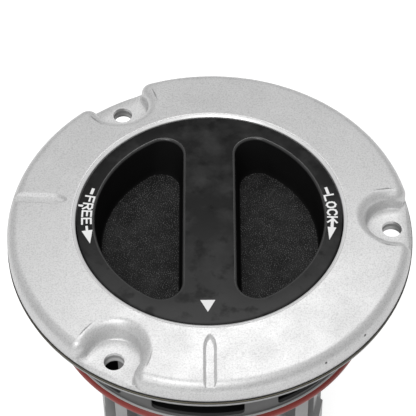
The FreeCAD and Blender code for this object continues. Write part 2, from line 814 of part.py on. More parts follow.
def well_outline(sketch, outer, side, corner):
    """A D shape: an arc about the axis closed by a straight side, with round corners."""
    R, b, c = outer.value, side.value, corner.value
    reach = math.sqrt((R - c) ** 2 - (b + c) ** 2)
    bend = math.atan2(reach, b + c)
    main = sketch.addGeometry(Part.ArcOfCircle(
        Part.Circle(Vector(), Vector(0, 0, 1), R), -bend, bend))
    high = sketch.addGeometry(Part.ArcOfCircle(
        Part.Circle(Vector(b + c, reach, 0), Vector(0, 0, 1), c), bend, math.pi))
    line = sketch.addGeometry(Part.LineSegment(Vector(b, reach, 0), Vector(b, -reach, 0)))
    low = sketch.addGeometry(Part.ArcOfCircle(
        Part.Circle(Vector(b + c, -reach, 0), Vector(0, 0, 1), c), math.pi, 2 * math.pi - bend))
    sketch.addConstraint(Sketcher.Constraint("Coincident", main, 3, -1, 1))
    sketch.addConstraint(Sketcher.Constraint("Tangent", main, 2, high, 1))
    sketch.addConstraint(Sketcher.Constraint("Tangent", high, 2, line, 1))
    sketch.addConstraint(Sketcher.Constraint("Tangent", line, 2, low, 1))
    sketch.addConstraint(Sketcher.Constraint("Tangent", low, 2, main, 1))
    sketch.addConstraint(Sketcher.Constraint("Vertical", line))
    sketch.addConstraint(Sketcher.Constraint("Equal", high, low))
    bind(sketch, Sketcher.Constraint("Radius", main, R), outer)
    bind(sketch, Sketcher.Constraint("Radius", high, c), corner)
    bind(sketch, Sketcher.Constraint("DistanceX", -1, 1, line, 1, b), side)


# The cam sleeve turns with the dial; three helical grooves in its bore drive the follower.

def make_cam_sleeve():
    body = new_body("cam_sleeve")
    turned(body, "SleeveBlank", box_points(sleeve_inner, sleeve_outer,
                                           sleeve_bottom, collar_bottom))
    sketch = new_sketch(body, "LugOutline", "XY_Plane", collar_bottom)
    polygon(sketch, box_points(sleeve_inner + 0.2, collar_radius - s.play,
                               -s.lug_width / 2, s.lug_width / 2))
    lug = extrude(body, "Pad", "Lug", sketch, s.collar_thick - s.face_gap)
    around(body, "Lugs", [lug], s.lug_count)
    share = groove_reach / s.turn_angle
    low = pin_level - s.clutch_stroke - s.clutch_stroke * share
    half = s.pin_radius + s.cam_gap
    sketch = new_sketch(body, "CamGrooveSection", "XZ_Plane")
    polygon(sketch, box_points(sleeve_inner - 1, cam_radius, low - half, low + half))
    groove = body.newObject("PartDesign::SubtractiveHelix", "CamGroove")
    groove.Profile = sketch
    groove.ReferenceAxis = (sketch, ["V_Axis"])
    groove.Mode = "pitch-height-angle"
    pitch = s.clutch_stroke / s.turn_angle * 360
    height = s.clutch_stroke + s.clutch_stroke * share * 2
    groove.Pitch = pitch.value
    groove.setExpression("Pitch", pitch.text)
    groove.Height = height.value
    groove.setExpression("Height", height.text)
    groove.LeftHanded = True
    around(body, "CamGrooves", [groove], s.pin_count)
    return body


def follower_turn():
    """The pins stand where the grooves' upper ends lie while the hub is free."""
    return -(s.turn_angle + groove_reach)


def make_follower():
    body = new_body("follower", follower_turn())
    ring_top = pin_level + s.follower_ring_height / 2
    spigot_bottom = clutch_top - s.spigot_length
    spigot_inner = clutch_bore_radius - s.spigot_wall
    tube_inner = follower_tube - s.follower_tube_wall
    clip_top = clutch_top - s.spigot_length / 2 + s.clip_width / 2
    turned(body, "FollowerBlank", [
        (follower_outer, ring_top),
        (follower_outer, web_bottom),
        (follower_tube, web_bottom),
        (follower_tube, clutch_top + s.face_gap),
        (clutch_bore_radius - s.face_gap, clutch_top + s.face_gap),
        (clutch_bore_radius - s.face_gap, clip_top),
        (clutch_bore_radius - s.clip_bite, clip_top),
        (clutch_bore_radius - s.clip_bite, clip_top - s.clip_width),
        (clutch_bore_radius - s.face_gap, clip_top - s.clip_width),
        (clutch_bore_radius - s.face_gap, spigot_bottom),
        (spigot_inner, spigot_bottom),
        (spigot_inner, clutch_top + 2),
        (tube_inner, clutch_top + 4),
        (tube_inner, ring_bottom),
        (follower_outer - s.follower_ring_wall, ring_bottom),
        (follower_outer - s.follower_ring_wall, ring_top),
    ])
    sketch = new_sketch(body, "PinHoleOutline", "YZ_Plane")
    circle(sketch, ZERO, pin_level, s.pin_radius)
    hole = extrude(body, "Pocket", "PinHole", sketch, follower_outer + 1, reverse=True)
    around(body, "PinHoles", [hole], s.pin_count)
    return body


def make_follower_pins():
    body = new_body("follower_pins", follower_turn())
    sketch = new_sketch(body, "PinOutline", "YZ_Plane", follower_outer - s.follower_ring_wall)
    circle(sketch, ZERO, pin_level, s.pin_radius)
    length = s.follower_ring_wall + s.follower_gap + s.cam_groove_depth - s.play
    pin = extrude(body, "Pad", "Pin", sketch, length)
    around(body, "Pins", [pin], s.pin_count)
    return body


# The splined body slides into the wheel; its bore carries the clutch ring and the drive hub.

def make_splined_body():
    body = new_body("splined_body", s.tooth_phase)
    seal_half = s.seal_section * 0.6
    turned(body, "BodyBlank", [
        (throat_radius, floor_bottom),
        (seal_circle_radius - seal_half, floor_bottom),
        (seal_circle_radius - seal_half, floor_bottom - s.seal_section),
        (seal_circle_radius + seal_half, floor_bottom - s.seal_section),
        (seal_circle_radius + seal_half, floor_bottom),
        (body_flange_radius, floor_bottom),
        (body_flange_radius, floor_bottom - s.body_flange_thick),
        (body_root_radius, floor_bottom - s.body_flange_thick),
        (body_root_radius, body_bottom + 1),
        (body_root_radius - 1, body_bottom),
        (bush_outer, body_bottom),
        (bush_outer, bush_top),
        (throat_radius, bush_top),
    ])
    sketch = new_sketch(body, "ToothSection", "XZ_Plane")
    base = body_root_radius - 0.6
    polygon(sketch, [
        (base, -s.tooth_top),
        (body_root_radius, -s.tooth_top),
        (tooth_tip_radius, -s.tooth_top - s.tooth_bevel * 1.3),
        (tooth_tip_radius, -s.tooth_end + s.tooth_bevel / 2),
        (tooth_tip_radius - s.tooth_bevel / 2, -s.tooth_end),
        (base, -s.tooth_end),
    ])
    tooth = extrude(body, "Pad", "Tooth", sketch, s.tooth_width, both_sides=True)
    around(body, "Teeth", [tooth], s.tooth_count)
    low_tooth(body)
    step_tooth(body)
    spline_teeth(body, "BodySpline", throat_radius + 0.4, clutch_root + s.spline_gap,
                 s.spline_width, floor_bottom - s.body_flange_thick,
                 floor_bottom - s.body_flange_thick - clutch_bottom)
    sketch = new_sketch(body, "ThreadHoleOutline", "XY_Plane", floor_bottom)
    turn_back = -s.tooth_phase
    circle(sketch, body_screw_circle * cosine(turn_back), body_screw_circle
           * sine(turn_back), s.body_screw_radius)
    hole = extrude(body, "Pocket", "ThreadHole", sketch, s.body_flange_thick + 1)
    around(body, "ThreadHoles", [hole], s.body_screw_count)
    return body


def low_tooth(body):
    """Lowers the upper part of the tooth before the first, with a bevel up to its full height."""
    tip = body_root_radius + s.low_tooth_height
    out = tooth_tip_radius + 1
    end = -s.tooth_top - s.low_tooth_length
    sketch = new_sketch(body, "LowToothSection", "XZ_Plane")
    polygon(sketch, [(tip, -s.tooth_top + 1), (out, -s.tooth_top + 1), (out, end - (out - tip)),
                     (tip, end)])
    turn = -as_size(360) / s.tooth_count
    sketch.AttachmentOffset = Placement(Vector(), Rotation(Vector(0, 1, 0), turn.value))
    sketch.setExpression("AttachmentOffset.Rotation.Angle", turn.text)
    cut = body.newObject("PartDesign::Groove", "LowTooth")
    cut.Profile = sketch
    cut.ReferenceAxis = (sketch, ["V_Axis"])
    cut.Midplane = True
    cut.Angle = s.low_tooth_span.value
    cut.setExpression("Angle", s.low_tooth_span.text)
    doc.recompute()


def step_tooth(body):
    """Steps one flank back over the lower part of the tooth opposite the first."""
    inner = -body_root_radius - 0.15
    outer = -tooth_tip_radius - 1
    bevel = s.step_tooth_bevel
    level = -s.tooth_top - s.step_tooth_length
    low = -s.tooth_end - 1
    sketch = new_sketch(body, "StepToothSection", "XZ_Plane", s.tooth_width / 2 - s.step_tooth_depth)
    polygon(sketch, [(inner, low), (outer, low), (outer, level + bevel * 2),
                     (-tooth_tip_radius, level + bevel * 2), (-tooth_tip_radius + bevel, level),
                     (inner, level)])
    extrude(body, "Pocket", "StepTooth", sketch, s.step_tooth_depth + 1, reverse=True)


def spline_teeth(body, name, base, tip, width, top, length, count=None):
    """Straight teeth from a base radius to a tip radius, inwards or outwards."""
    sketch = new_sketch(body, name + "Outline", "XY_Plane", top)
    half = width / 2
    flare = 1.25 if base.value < tip.value else 1.12
    polygon(sketch, [
        (base, -half * flare),
        (tip, -half * 0.85),
        (tip, half * 0.85),
        (base, half * flare),
    ])
    tooth = extrude(body, "Pad", name, sketch, length, reverse=True)
    return around(body, name + "Ring", [tooth], count or s.spline_count)


def make_clutch_ring():
    body = new_body("clutch_ring", s.tooth_phase + as_size(180) / s.spline_count)
    clip_top = clutch_top - s.spigot_length / 2 + s.clip_width / 2
    bevel = s.spline_height / 2
    lead = s.dog_height / 2
    turned(body, "ClutchBlank", [
        (clutch_bore_radius, clutch_top),
        (clutch_root, clutch_top),
        (clutch_root, clutch_bottom),
        (clutch_bore_radius, clutch_bottom),
        (dog_tip, clutch_bottom + lead),
        (dog_tip, clutch_bottom + s.dog_length),
        (clutch_bore_radius, clutch_bottom + s.dog_length),
        (clutch_bore_radius, clip_top - s.clip_width),
        (clutch_bore_radius + s.clip_bite, clip_top - s.clip_width),
        (clutch_bore_radius + s.clip_bite, clip_top),
        (clutch_bore_radius, clip_top),
    ])
    sketch = new_sketch(body, "ClutchSplineSection", "XZ_Plane")
    base = clutch_root - 0.4
    polygon(sketch, [
        (base, clutch_top),
        (clutch_root, clutch_top),
        (clutch_outer, clutch_top - bevel),
        (clutch_outer, clutch_bottom + bevel),
        (clutch_root, clutch_bottom),
        (base, clutch_bottom),
    ])
    tooth = extrude(body, "Pad", "ClutchSpline", sketch, s.spline_width, both_sides=True)
    around(body, "ClutchSplines", [tooth], s.spline_count)
    sketch = new_sketch(body, "ClutchDogGap", "XY_Plane", clutch_bottom + s.dog_length)
    pitch = clutch_bore_radius * (2 * math.pi) / s.spline_count
    half_gap = (pitch - s.dog_width) / 2
    turn_back = as_size(180) / s.spline_count
    reach = clutch_bore_radius - 0.02
    short = dog_tip - 1
    polygon(sketch, [
        rotated(short, -half_gap * 0.8, turn_back),
        rotated(reach, -half_gap, turn_back),
        rotated(reach, half_gap, turn_back),
        rotated(short, half_gap * 0.8, turn_back),
    ])
    gap = extrude(body, "Pocket", "DogSpace", sketch, s.dog_length + 1)
    around(body, "DogSpaces", [gap], s.spline_count)
    return body


def rotated(x, y, angle):
    """The point x, y turned about the origin by an angle."""
    return (x * cosine(angle) - y * sine(angle), x * sine(angle) + y * cosine(angle))


def make_clutch_clip():
    body = new_body("clutch_clip")
    clip_top = clutch_top - s.spigot_length / 2 + s.clip_width / 2 - s.face_gap
    turned(body, "ClipBlank", box_points(
        clutch_bore_radius - s.clip_bite + s.face_gap,
        clutch_bore_radius + s.clip_bite - s.face_gap,
        clip_top - s.clip_width + s.face_gap * 2, clip_top))
    split_ring(body, "ClipSplit", clip_top + 1, s.clip_width + 2, clutch_bore_radius)
    return body


def split_ring(body, name, level, depth, radius):
    sketch = new_sketch(body, name + "Outline", "XY_Plane", level)
    polygon(sketch, box_points(radius - 6, radius + 6, -s.play * 6, s.play * 6))
    extrude(body, "Pocket", name, sketch, depth)


# The drive hub: a sleeve on the axle's splines with a toothed rim that the clutch ring locks.

def make_drive_hub():
    body = new_body("drive_hub", s.tooth_phase)
    minor = axle_spline_radius - s.axle_spline_height
    lead = s.dog_height / 2
    groove_root = hub_radius - s.clip_width
    turned(body, "HubBlank", [
        (axle_spline_radius, -s.hub_top),
        (hub_radius, -s.hub_top),
        (hub_radius, gear_top),
        (gear_root, gear_top),
        (gear_root, gear_bottom),
        (gear_tip, gear_bottom),
        (gear_tip, shoulder_level),
        (hub_radius, shoulder_level),
        (hub_radius, hub_clip_top),
        (groove_root, hub_clip_top),
        (groove_root, hub_clip_top - s.clip_width),
        (hub_radius, hub_clip_top - s.clip_width),
        (hub_radius, hub_bottom),
        (axle_spline_radius, hub_bottom),
    ])
    sketch = new_sketch(body, "HubToothSection", "XZ_Plane")
    base = gear_root - 0.4
    polygon(sketch, [
        (base, gear_top),
        (gear_root, gear_top),
        (gear_tip, gear_top - lead),
        (gear_tip, gear_bottom),
        (base, gear_bottom),
    ])
    tooth = extrude(body, "Pad", "HubTooth", sketch, s.dog_width, both_sides=True)
    around(body, "HubTeeth", [tooth], s.spline_count)
    spline_teeth(body, "AxleSpline", axle_spline_radius + 0.4, minor, s.axle_spline_width,
                 -s.hub_top - 1, as_size(-2) - s.hub_top - hub_bottom - s.hub_clip_height,
                 s.axle_spline_count)
    return body


def make_hub_bush():
    body = new_body("hub_bush")
    turned(body, "BushBlank", box_points(hub_radius + s.bush_gap, bush_outer,
                                         bush_bottom, bush_top))
    return body


def make_thrust_washer():
    body = new_body("hub_thrust_washer")
    turned(body, "ThrustBlank", box_points(hub_radius + s.bush_gap, gear_tip + 0.4,
                                           bush_top, bush_top + s.thrust_thick))
    return body


def make_hub_clip():
    body = new_body("hub_clip")
    turned(body, "HubClipBlank", box_points(
        hub_radius - s.clip_width + s.face_gap, gear_tip,
        hub_clip_top - s.clip_width + s.face_gap, hub_clip_top - s.face_gap))
    split_ring(body, "HubClipSplit", hub_clip_top + 1, s.clip_width + 2, hub_radius)
    return body


def make_spring_seat():
    body = new_body("spring_seat")
    turned(body, "SeatBlank", box_points(gear_tip + 1, throat_radius - s.face_gap,
                                         bush_top, bush_top + s.seat_thick))
    return body


def make_return_spring():
    """A helical spring with closed end coils, ground flat."""
    body = new_body("return_spring")
    closed = s.spring_wire + s.face_gap
    first = spring_bottom + s.spring_wire * 0.1
    last = spring_top - s.spring_wire * 0.1 - closed
    coil_of(body, "BottomCoil", first, closed, as_size(1))
    coil_of(body, "OpenCoils", first + closed, last - first - closed, s.spring_turns)
    coil_of(body, "TopCoil", last, closed, as_size(1))
    low_cut = spring_bottom - s.spring_wire * 3
    high_cut = spring_top + s.spring_wire * 3
    inside = spring_radius - s.spring_wire
    outside = spring_radius + s.spring_wire
    turned_cut(body, "TopGround", box_points(inside, outside, spring_top, high_cut))
    turned_cut(body, "BottomGround", box_points(inside, outside, low_cut, spring_bottom))
    return body


def coil_of(body, name, start, height, turns):
    sketch = new_sketch(body, name + "Section", "XZ_Plane")
    eight_sided(sketch, spring_radius, start, s.spring_wire / 2)
    coil = body.newObject("PartDesign::AdditiveHelix", name)
    coil.Profile = sketch
    coil.ReferenceAxis = (sketch, ["V_Axis"])
    coil.Mode = "height-turns-angle"
    coil.Height = height.value
    coil.setExpression("Height", height.text)
    coil.Turns = turns.value
    coil.setExpression("Turns", turns.text)


def eight_sided(sketch, x, y, radius):
    """A regular eight-sided outline, flat at the top, bottom and sides."""
    points = []
    for index in range(8):
        angle = as_size(22.5 + 45 * index)
        points.append((x + radius * cosine(angle), y + radius * sine(angle)))
    polygon(sketch, points)


def make_washer():
    body = new_body("sleeve_washer")
    turned(body, "WasherBlank", box_points(sleeve_inner + 0.2, neck_bore - s.play,
                                           floor_top, washer_top))
    return body


make_cover()
make_gasket()
make_cage()
ring_of_section("cage_seal", ring_groove_radius + s.ring_section / 2,
                floor_top - s.ring_groove_height / 2 - 0.1, s.ring_section)
make_washer()
make_splined_body()
ring_of_section("body_seal", seal_circle_radius, floor_bottom - s.seal_section / 2,
                s.seal_section, eight_sided)
make_body_screws()
make_hub_bush()
make_spring_seat()
make_dial()
ring_of_section("dial_seal", cover_bore - s.face_gap - s.dial_ring_section / 2,
                dial_top - s.dial_ring_depth, s.dial_ring_section, eight_sided)
make_cam_sleeve()
make_follower()
make_follower_pins()
make_clutch_ring()
make_clutch_clip()
make_drive_hub()
make_thrust_washer()
make_hub_clip()
make_return_spring()
doc.recompute()

problems = []
for item in doc.Objects:
    if "Invalid" in item.State or "Error" in item.State:
        problems.append("{} is {}".format(item.Name, item.State))
for piece in made:
    if piece.Shape.isNull() or not piece.Shape.isValid():
        problems.append("{} has no valid shape".format(piece.Label))
if problems:
    raise RuntimeError("; ".join(problems))

os.makedirs("parts", exist_ok=True)
for piece in made:
    box = piece.Shape.BoundBox
    print("{:18s} {:2d} solid(s) {:10.1f} mm3  z {:7.2f} to {:7.2f}  x {:6.2f} to {:6.2f}".format(
        piece.Label, len(piece.Shape.Solids), piece.Shape.Volume, box.ZMin, box.ZMax,
        box.XMin, box.XMax))
    piece.Shape.exportStep("parts/{}.step".format(piece.Label))
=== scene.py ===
import logging
import math
from dataclasses import dataclass, field
from enum import Enum
from typing import Sequence

import bmesh
import bpy
from mathutils import Matrix, Vector


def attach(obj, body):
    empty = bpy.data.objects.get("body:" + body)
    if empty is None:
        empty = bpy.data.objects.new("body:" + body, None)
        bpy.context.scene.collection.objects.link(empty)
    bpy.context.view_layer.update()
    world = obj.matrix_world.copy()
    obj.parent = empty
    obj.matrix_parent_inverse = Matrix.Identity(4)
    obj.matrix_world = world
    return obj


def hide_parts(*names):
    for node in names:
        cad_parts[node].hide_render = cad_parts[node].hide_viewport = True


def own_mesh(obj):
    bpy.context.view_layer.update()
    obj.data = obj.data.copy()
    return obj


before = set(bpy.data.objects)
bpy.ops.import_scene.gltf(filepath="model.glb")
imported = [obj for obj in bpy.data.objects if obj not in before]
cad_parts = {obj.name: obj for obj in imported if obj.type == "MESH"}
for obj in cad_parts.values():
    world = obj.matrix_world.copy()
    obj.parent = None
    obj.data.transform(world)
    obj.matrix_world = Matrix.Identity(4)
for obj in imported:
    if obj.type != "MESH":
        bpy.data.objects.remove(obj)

# Dresses a manual locking hub and sets it under plain studio light. Sizes are in millimetres and
# angles in degrees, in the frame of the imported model, until a mesh is written, which is in metres.

LOG = logging.getLogger("locking_hub")
MM = 0.001
WELD_DISTANCE = 1e-7

Point = tuple[float, float, float]
Flat = tuple[float, float]
Shade = tuple[float, float, float]
Stops = Sequence[tuple[float, Shade]]
Socket = bpy.types.NodeSocket
WallPoint = tuple[float, float, float, float]
RimRow = tuple[float, float, float, float, float]


# Helpers for meshes

def polar(radius: float, degrees: float) -> Flat:
    """Returns the point at a radius and an angle about the spin axis."""
    turn = math.radians(degrees)
    return radius * math.cos(turn), radius * math.sin(turn)


def turned(point: Flat, degrees: float) -> Flat:
    """Returns a point turned about the spin axis."""
    c, s = math.cos(math.radians(degrees)), math.sin(math.radians(degrees))
    return point[0] * c - point[1] * s, point[0] * s + point[1] * c


def linked(name: str, mesh: bpy.types.Mesh) -> bpy.types.Object:
    """Returns a new object at the origin that carries a mesh and is in the scene."""
    obj = bpy.data.objects.new(name, mesh)
    bpy.context.scene.collection.objects.link(obj)
    return obj


def new_object(name: str, points: Sequence[Point], faces: Sequence[Sequence[int]]) -> bpy.types.Object:
    """Makes a mesh object at the origin from points in millimetres.

    Args:
        name: The piece's name.
        points: Corner points.
        faces: Corner indices of each face, counter-clockwise from outside.

    Returns:
        The new object, linked to the scene.
    """
    mesh = bpy.data.meshes.new(name)
    mesh.from_pydata([tuple(c * MM for c in p) for p in points], [], [tuple(f) for f in faces])
    mesh.validate()
    return linked(name, mesh)


def smooth_faces(obj: bpy.types.Object, sharp_degrees: float = 32.0) -> None:
    """Shades a mesh smooth, with edges sharper than an angle left crisp."""
    obj.data.shade_smooth()
    obj.data.set_sharp_from_angle(angle=math.radians(sharp_degrees))


def ring_object(name: str, rings: Sequence[Sequence[Point]], sharp_degrees: float = 32.0) -> bpy.types.Object:
    """Makes a closed mesh from rings of points.

    Args:
        name: The piece's name.
        rings: Rings of equal length, each joined to the next and the last to the first.
        sharp_degrees: The angle above which an edge stays crisp.

    Returns:
        The new object, with every face turned outwards.
    """
    columns = len(rings[0])
    total = len(rings) * columns
    faces = []
    for low in range(0, total, columns):
        for k in range(columns):
            after = (k + 1) % columns
            faces.append((low + k, low + after, (low + columns + after) % total, (low + columns + k) % total))
    obj = new_object(name, [point for ring in rings for point in ring], faces)
    shape = bmesh.new()
    shape.from_mesh(obj.data)
    bmesh.ops.remove_doubles(shape, verts=shape.verts, dist=WELD_DISTANCE)
    bmesh.ops.recalc_face_normals(shape, faces=shape.faces)
    shape.to_mesh(obj.data)
    shape.free()
    smooth_faces(obj, sharp_degrees)
    return obj


def add_ring(shape: bmesh.types.BMesh, ring: Sequence[Point]) -> list[bmesh.types.BMVert]:
    """Adds a ring of points in millimetres to a shape that is being built in metres."""
    return [shape.verts.new([c * MM for c in point]) for point in ring]


def bridge(shape: bmesh.types.BMesh, rings: Sequence[Sequence[bmesh.types.BMVert]]) -> None:
    """Joins rings of equal length with quads."""
    for low, high in zip(rings, rings[1:]):
        for k in range(len(low)):
            after = (k + 1) % len(low)
            shape.faces.new((low[k], low[after], high[after], high[k]))


def fill_between(shape: bmesh.types.BMesh, rings: Sequence[Sequence[bmesh.types.BMVert]]) -> list:
    """Fills the flat area between an outer ring and the rings inside it, and returns what it made."""
    edges = []
    for ring in rings:
        for k, vert in enumerate(ring):
            after = ring[(k + 1) % len(ring)]
            edges.append(shape.edges.get((vert, after)) or shape.edges.new((vert, after)))
    return bmesh.ops.triangle_fill(shape, use_beauty=True, edges=edges)["geom"]


def finished(shape: bmesh.types.BMesh, name: str, sharp_degrees: float) -> bpy.types.Object:
    """Turns a built shape into an object with outward faces."""
    bmesh.ops.recalc_face_normals(shape, faces=shape.faces)
    mesh = bpy.data.meshes.new(name)
    shape.to_mesh(mesh)
    shape.free()
    obj = linked(name, mesh)
    smooth_faces(obj, sharp_degrees)
    return obj


# Finishes

class Nodes:
    """Builds one node-based material with short calls."""

    def __init__(self, name: str) -> None:
        """Starts an empty material with a Principled shader."""
        self.material = bpy.data.materials.new(name)
        self.material.use_nodes = True
        self.tree = self.material.node_tree
        self.shader = self.tree.nodes["Principled BSDF"]
        self.coords = self.add("ShaderNodeTexCoord").outputs["Object"]

    def add(self, kind: str, **settings: object) -> bpy.types.Node:
        """Adds a node and sets its properties or input values by name."""
        node = self.tree.nodes.new(kind)
        for key, value in settings.items():
            if hasattr(node, key):
                setattr(node, key, value)
            else:
                node.inputs[key.replace("_", " ")].default_value = value
        return node

    def feed(self, target: Socket, value: object) -> None:
        """Joins a socket to another one, or gives it a plain value."""
        if isinstance(value, Socket):
            self.tree.links.new(value, target)
        else:
            target.default_value = value

    def fed(self, name: str) -> Socket:
        """Returns what feeds one of the shader's inputs."""
        return self.shader.inputs[name].links[0].from_socket

    def set(self, **values: object) -> None:
        """Gives the shader's own inputs plain values or joins them to sockets."""
        for key, value in values.items():
            self.feed(self.shader.inputs[key.replace("_", " ")], value)

    def noise(self, size: float, detail: float = 2.0, stretch: Point = (1.0, 1.0, 1.0)) -> Socket:
        """Returns noise with features of about a size in millimetres."""
        mapping = self.add("ShaderNodeMapping", Scale=[axis / (size * MM) for axis in stretch])
        self.feed(mapping.inputs["Vector"], self.coords)
        node = self.add("ShaderNodeTexNoise", Scale=1.0, Detail=detail, Roughness=0.55)
        self.feed(node.inputs["Vector"], mapping.outputs["Vector"])
        return node.outputs["Fac"]

    def ramp(self, source: Socket, stops: Stops) -> Socket:
        """Maps a value through colour stops and returns the colour."""
        node = self.add("ShaderNodeValToRGB")
        band = node.color_ramp
        while len(band.elements) < len(stops):
            band.elements.new(0.5)
        for element, (place, colour) in zip(band.elements, stops):
            element.position = place
            element.color = (*colour, 1.0)
        self.feed(node.inputs["Fac"], source)
        return node.outputs["Color"]

    def span(self, source: Socket, low: float, high: float, start: float = 0.0, stop: float = 1.0) -> Socket:
        """Maps a value from one span to another, held at both ends."""
        node = self.add("ShaderNodeMapRange", From_Min=low, From_Max=high, To_Min=start, To_Max=stop)
        self.feed(node.inputs["Value"], source)
        return node.outputs["Result"]

    def compute(self, operation: str, first: Socket, second: object) -> Socket:
        """Returns a sum, product, comparison or the like of two numbers."""
        node = self.add("ShaderNodeMath", operation=operation)
        self.feed(node.inputs[0], first)
        self.feed(node.inputs[1], second)
        return node.outputs[0]

    def distance(self, centre: Point, flatten: Point = (1.0, 1.0, 1.0)) -> Socket:
        """Returns the distance from a centre, in metres, along the axes that aren't flattened."""
        flat = self.add("ShaderNodeVectorMath", operation="MULTIPLY")
        self.feed(flat.inputs[0], self.coords)
        flat.inputs[1].default_value = flatten
        away = self.add("ShaderNodeVectorMath", operation="DISTANCE")
        self.feed(away.inputs[0], flat.outputs[0])
        away.inputs[1].default_value = [c * MM for c in centre]
        return away.outputs["Value"]

    def along(self, axis: str) -> Socket:
        """Returns the place along an axis, in metres."""
        split = self.add("ShaderNodeSeparateXYZ")
        self.feed(split.inputs[0], self.coords)
        return split.outputs[axis]

    def blend(self, share: object, first: object, second: object, mode: str = "MIX") -> Socket:
        """Mixes two colours, each plain or a socket, by a share."""
        node = self.add("ShaderNodeMix", data_type="RGBA", blend_type=mode)
        for index, value in ((0, share), (6, first), (7, second)):
            self.feed(node.inputs[index], (*value, 1.0) if isinstance(value, tuple) else value)
        return node.outputs[2]

    def bump(self, height: Socket, depth: float, strength: float, after: Socket | None = None) -> None:
        """Bumps the surface by a height field, depth in millimetres."""
        node = self.add("ShaderNodeBump", Strength=strength, Distance=depth * MM)
        self.feed(node.inputs["Height"], height)
        if after is not None:
            self.feed(node.inputs["Normal"], after)
        self.set(Normal=node.outputs["Normal"])


def grey(level: float) -> Shade:
    """Returns the linear colour of a grey given as it shows on screen, from 0 to 1."""
    linear = level / 12.92 if level <= 0.04045 else ((level + 0.055) / 1.055) ** 2.4
    return linear, linear, linear


@dataclass(frozen=True)
class Finish:
    """A surface finish: a base colour, its gloss, and the grain that covers it."""

    name: str
    shade: Shade
    variation: float = 0.08
    metallic: float = 0.0
    roughness: float = 0.5
    grain_size: float = 0.5
    grain_depth: float = 0.02
    grain_strength: float = 0.3
    blotch_size: float = 14.0
    specular: float = 0.5
    bend: float = 1.5

    @property
    def title(self) -> str:
        """The material's name, which no packed material has."""
        return f"{self.name}_finish"

    def build(self) -> bpy.types.Material:
        """Returns the finish as a material."""
        nodes = Nodes(self.title)
        dark = tuple(c * (1 - self.variation) for c in self.shade)
        light = tuple(min(1.0, c * (1 + self.variation)) for c in self.shade)
        dull, shiny = min(1.0, self.roughness * 1.12), self.roughness * 0.88
        blotches = nodes.noise(self.blotch_size, 3.0)
        patches = nodes.noise(self.blotch_size * 0.4, 3.0)
        nodes.set(Base_Color=nodes.ramp(blotches, [(0.35, dark), (0.65, light)]),
                  Roughness=nodes.ramp(patches, [(0.3, (shiny,) * 3), (0.7, (dull,) * 3)]),
                  Metallic=self.metallic, Specular_IOR_Level=self.specular, IOR=self.bend)
        nodes.bump(nodes.noise(self.grain_size), self.grain_depth, self.grain_strength)
        self.dress(nodes)
        return nodes.material

    def dress(self, nodes: Nodes) -> None:
        """Adds what only this finish has; a plain finish adds nothing."""


@dataclass(frozen=True)
class CastSilver(Finish):
    """Fine-cast silver with an orange-peel skin that sparkles, and two casting specks."""

    specks: tuple[Point, ...] = ()
    speck_radii: Flat = (0.00025, 0.0005)
    sparkle: Stops = ((0.32, grey(0.90)), (0.5, grey(0.97)), (0.68, grey(1.0)))

    def dress(self, nodes: Nodes) -> None:
        """Adds bright and dark grains and the pinhole specks on the side wall."""
        grains = nodes.ramp(nodes.noise(0.40, 1.0), self.sparkle)
        colour = nodes.blend(1.0, nodes.fed("Base Color"), grains, "MULTIPLY")
        for speck in self.specks:
            near = nodes.span(nodes.distance(speck), *self.speck_radii, 1.0, 0.0)
            colour = nodes.blend(near, colour, grey(0.15))
        nodes.set(Base_Color=colour)


@dataclass(frozen=True)
class DialPlastic(Finish):
    """Black moulded plastic, satin, with painted sheen that lightens it towards the front, and faint finger
    smudges.
    """

    # Painted sheen: greys that lighten the dial from back to front.
    painted_front_sheen: Stops = ((0.0, grey(0.12)), (0.5, grey(0.135)), (0.75, grey(0.19)), (1.0, grey(0.25)))
    reach: float = 36.0

    def dress(self, nodes: Nodes) -> None:
        """Paints sheen that lightens the dial from back to front, and adds lighter smudges and darker
        patches.
        """
        # Painted sheen: the base colour lightens along the dial from back to front.
        base = nodes.ramp(nodes.span(nodes.along("Y"), self.reach * MM, -self.reach * MM), self.painted_front_sheen)
        cloud = nodes.ramp(nodes.noise(8.0, 8.0), [(0.44, (0.0,) * 3), (0.72, (0.7,) * 3)])
        patch = nodes.ramp(nodes.noise(5.0, 4.0), [(0.34, (0.55,) * 3), (0.46, (0.0,) * 3)])
        smudged = nodes.blend(cloud, base, grey(0.25))
        nodes.set(Base_Color=nodes.blend(patch, smudged, grey(0.07)))


@dataclass(frozen=True)
class BandedFinish(Finish):
    """A finish whose rim carries bands of other shades, each from one height up to the next, painted light
    and shade among them.
    """

    inner_radius: float = 55.0
    bands: Stops = ()
    low: float = 0.0
    high: float = 1.0
    painted_inner_light: Shade | None = None
    painted_shade_radius: float = 0.0

    def dress(self, nodes: Nodes) -> None:
        """Adds the bands beyond the inner radius, a plain colour within it, and painted near-black shade
        inside the shade radius.
        """
        banded = nodes.ramp(nodes.span(nodes.along("Z"), self.low * MM, self.high * MM), self.bands)
        reach = nodes.distance((0.0, 0.0, 0.0), (1.0, 1.0, 0.0))
        beyond = nodes.compute("GREATER_THAN", reach, self.inner_radius * MM)
        # Painted shade: near-black inside the shade radius.
        within = nodes.compute("LESS_THAN", reach, self.painted_shade_radius * MM)
        # The inner colour, where one is given, is painted light.
        shade = nodes.blend(beyond, self.painted_inner_light or nodes.fed("Base Color"), banded)
        nodes.set(Base_Color=nodes.blend(within, shade, grey(0.08)))


@dataclass(frozen=True)
class MachinedSteel(Finish):
    """Turned and cut steel, with fine rings of tool marks round the spin axis."""

    def dress(self, nodes: Nodes) -> None:
        """Adds fine tool marks along the height."""
        marks = nodes.noise(1.0, 2.0, (0.02, 0.02, 4.0))
        nodes.bump(marks, 0.02, 0.25, nodes.fed("Normal"))


SPECKS = ((30.3, -47.1, 6.6), (40.9, -38.2, 6.4))
SHEET = (0.16, 0.145, 0.095)
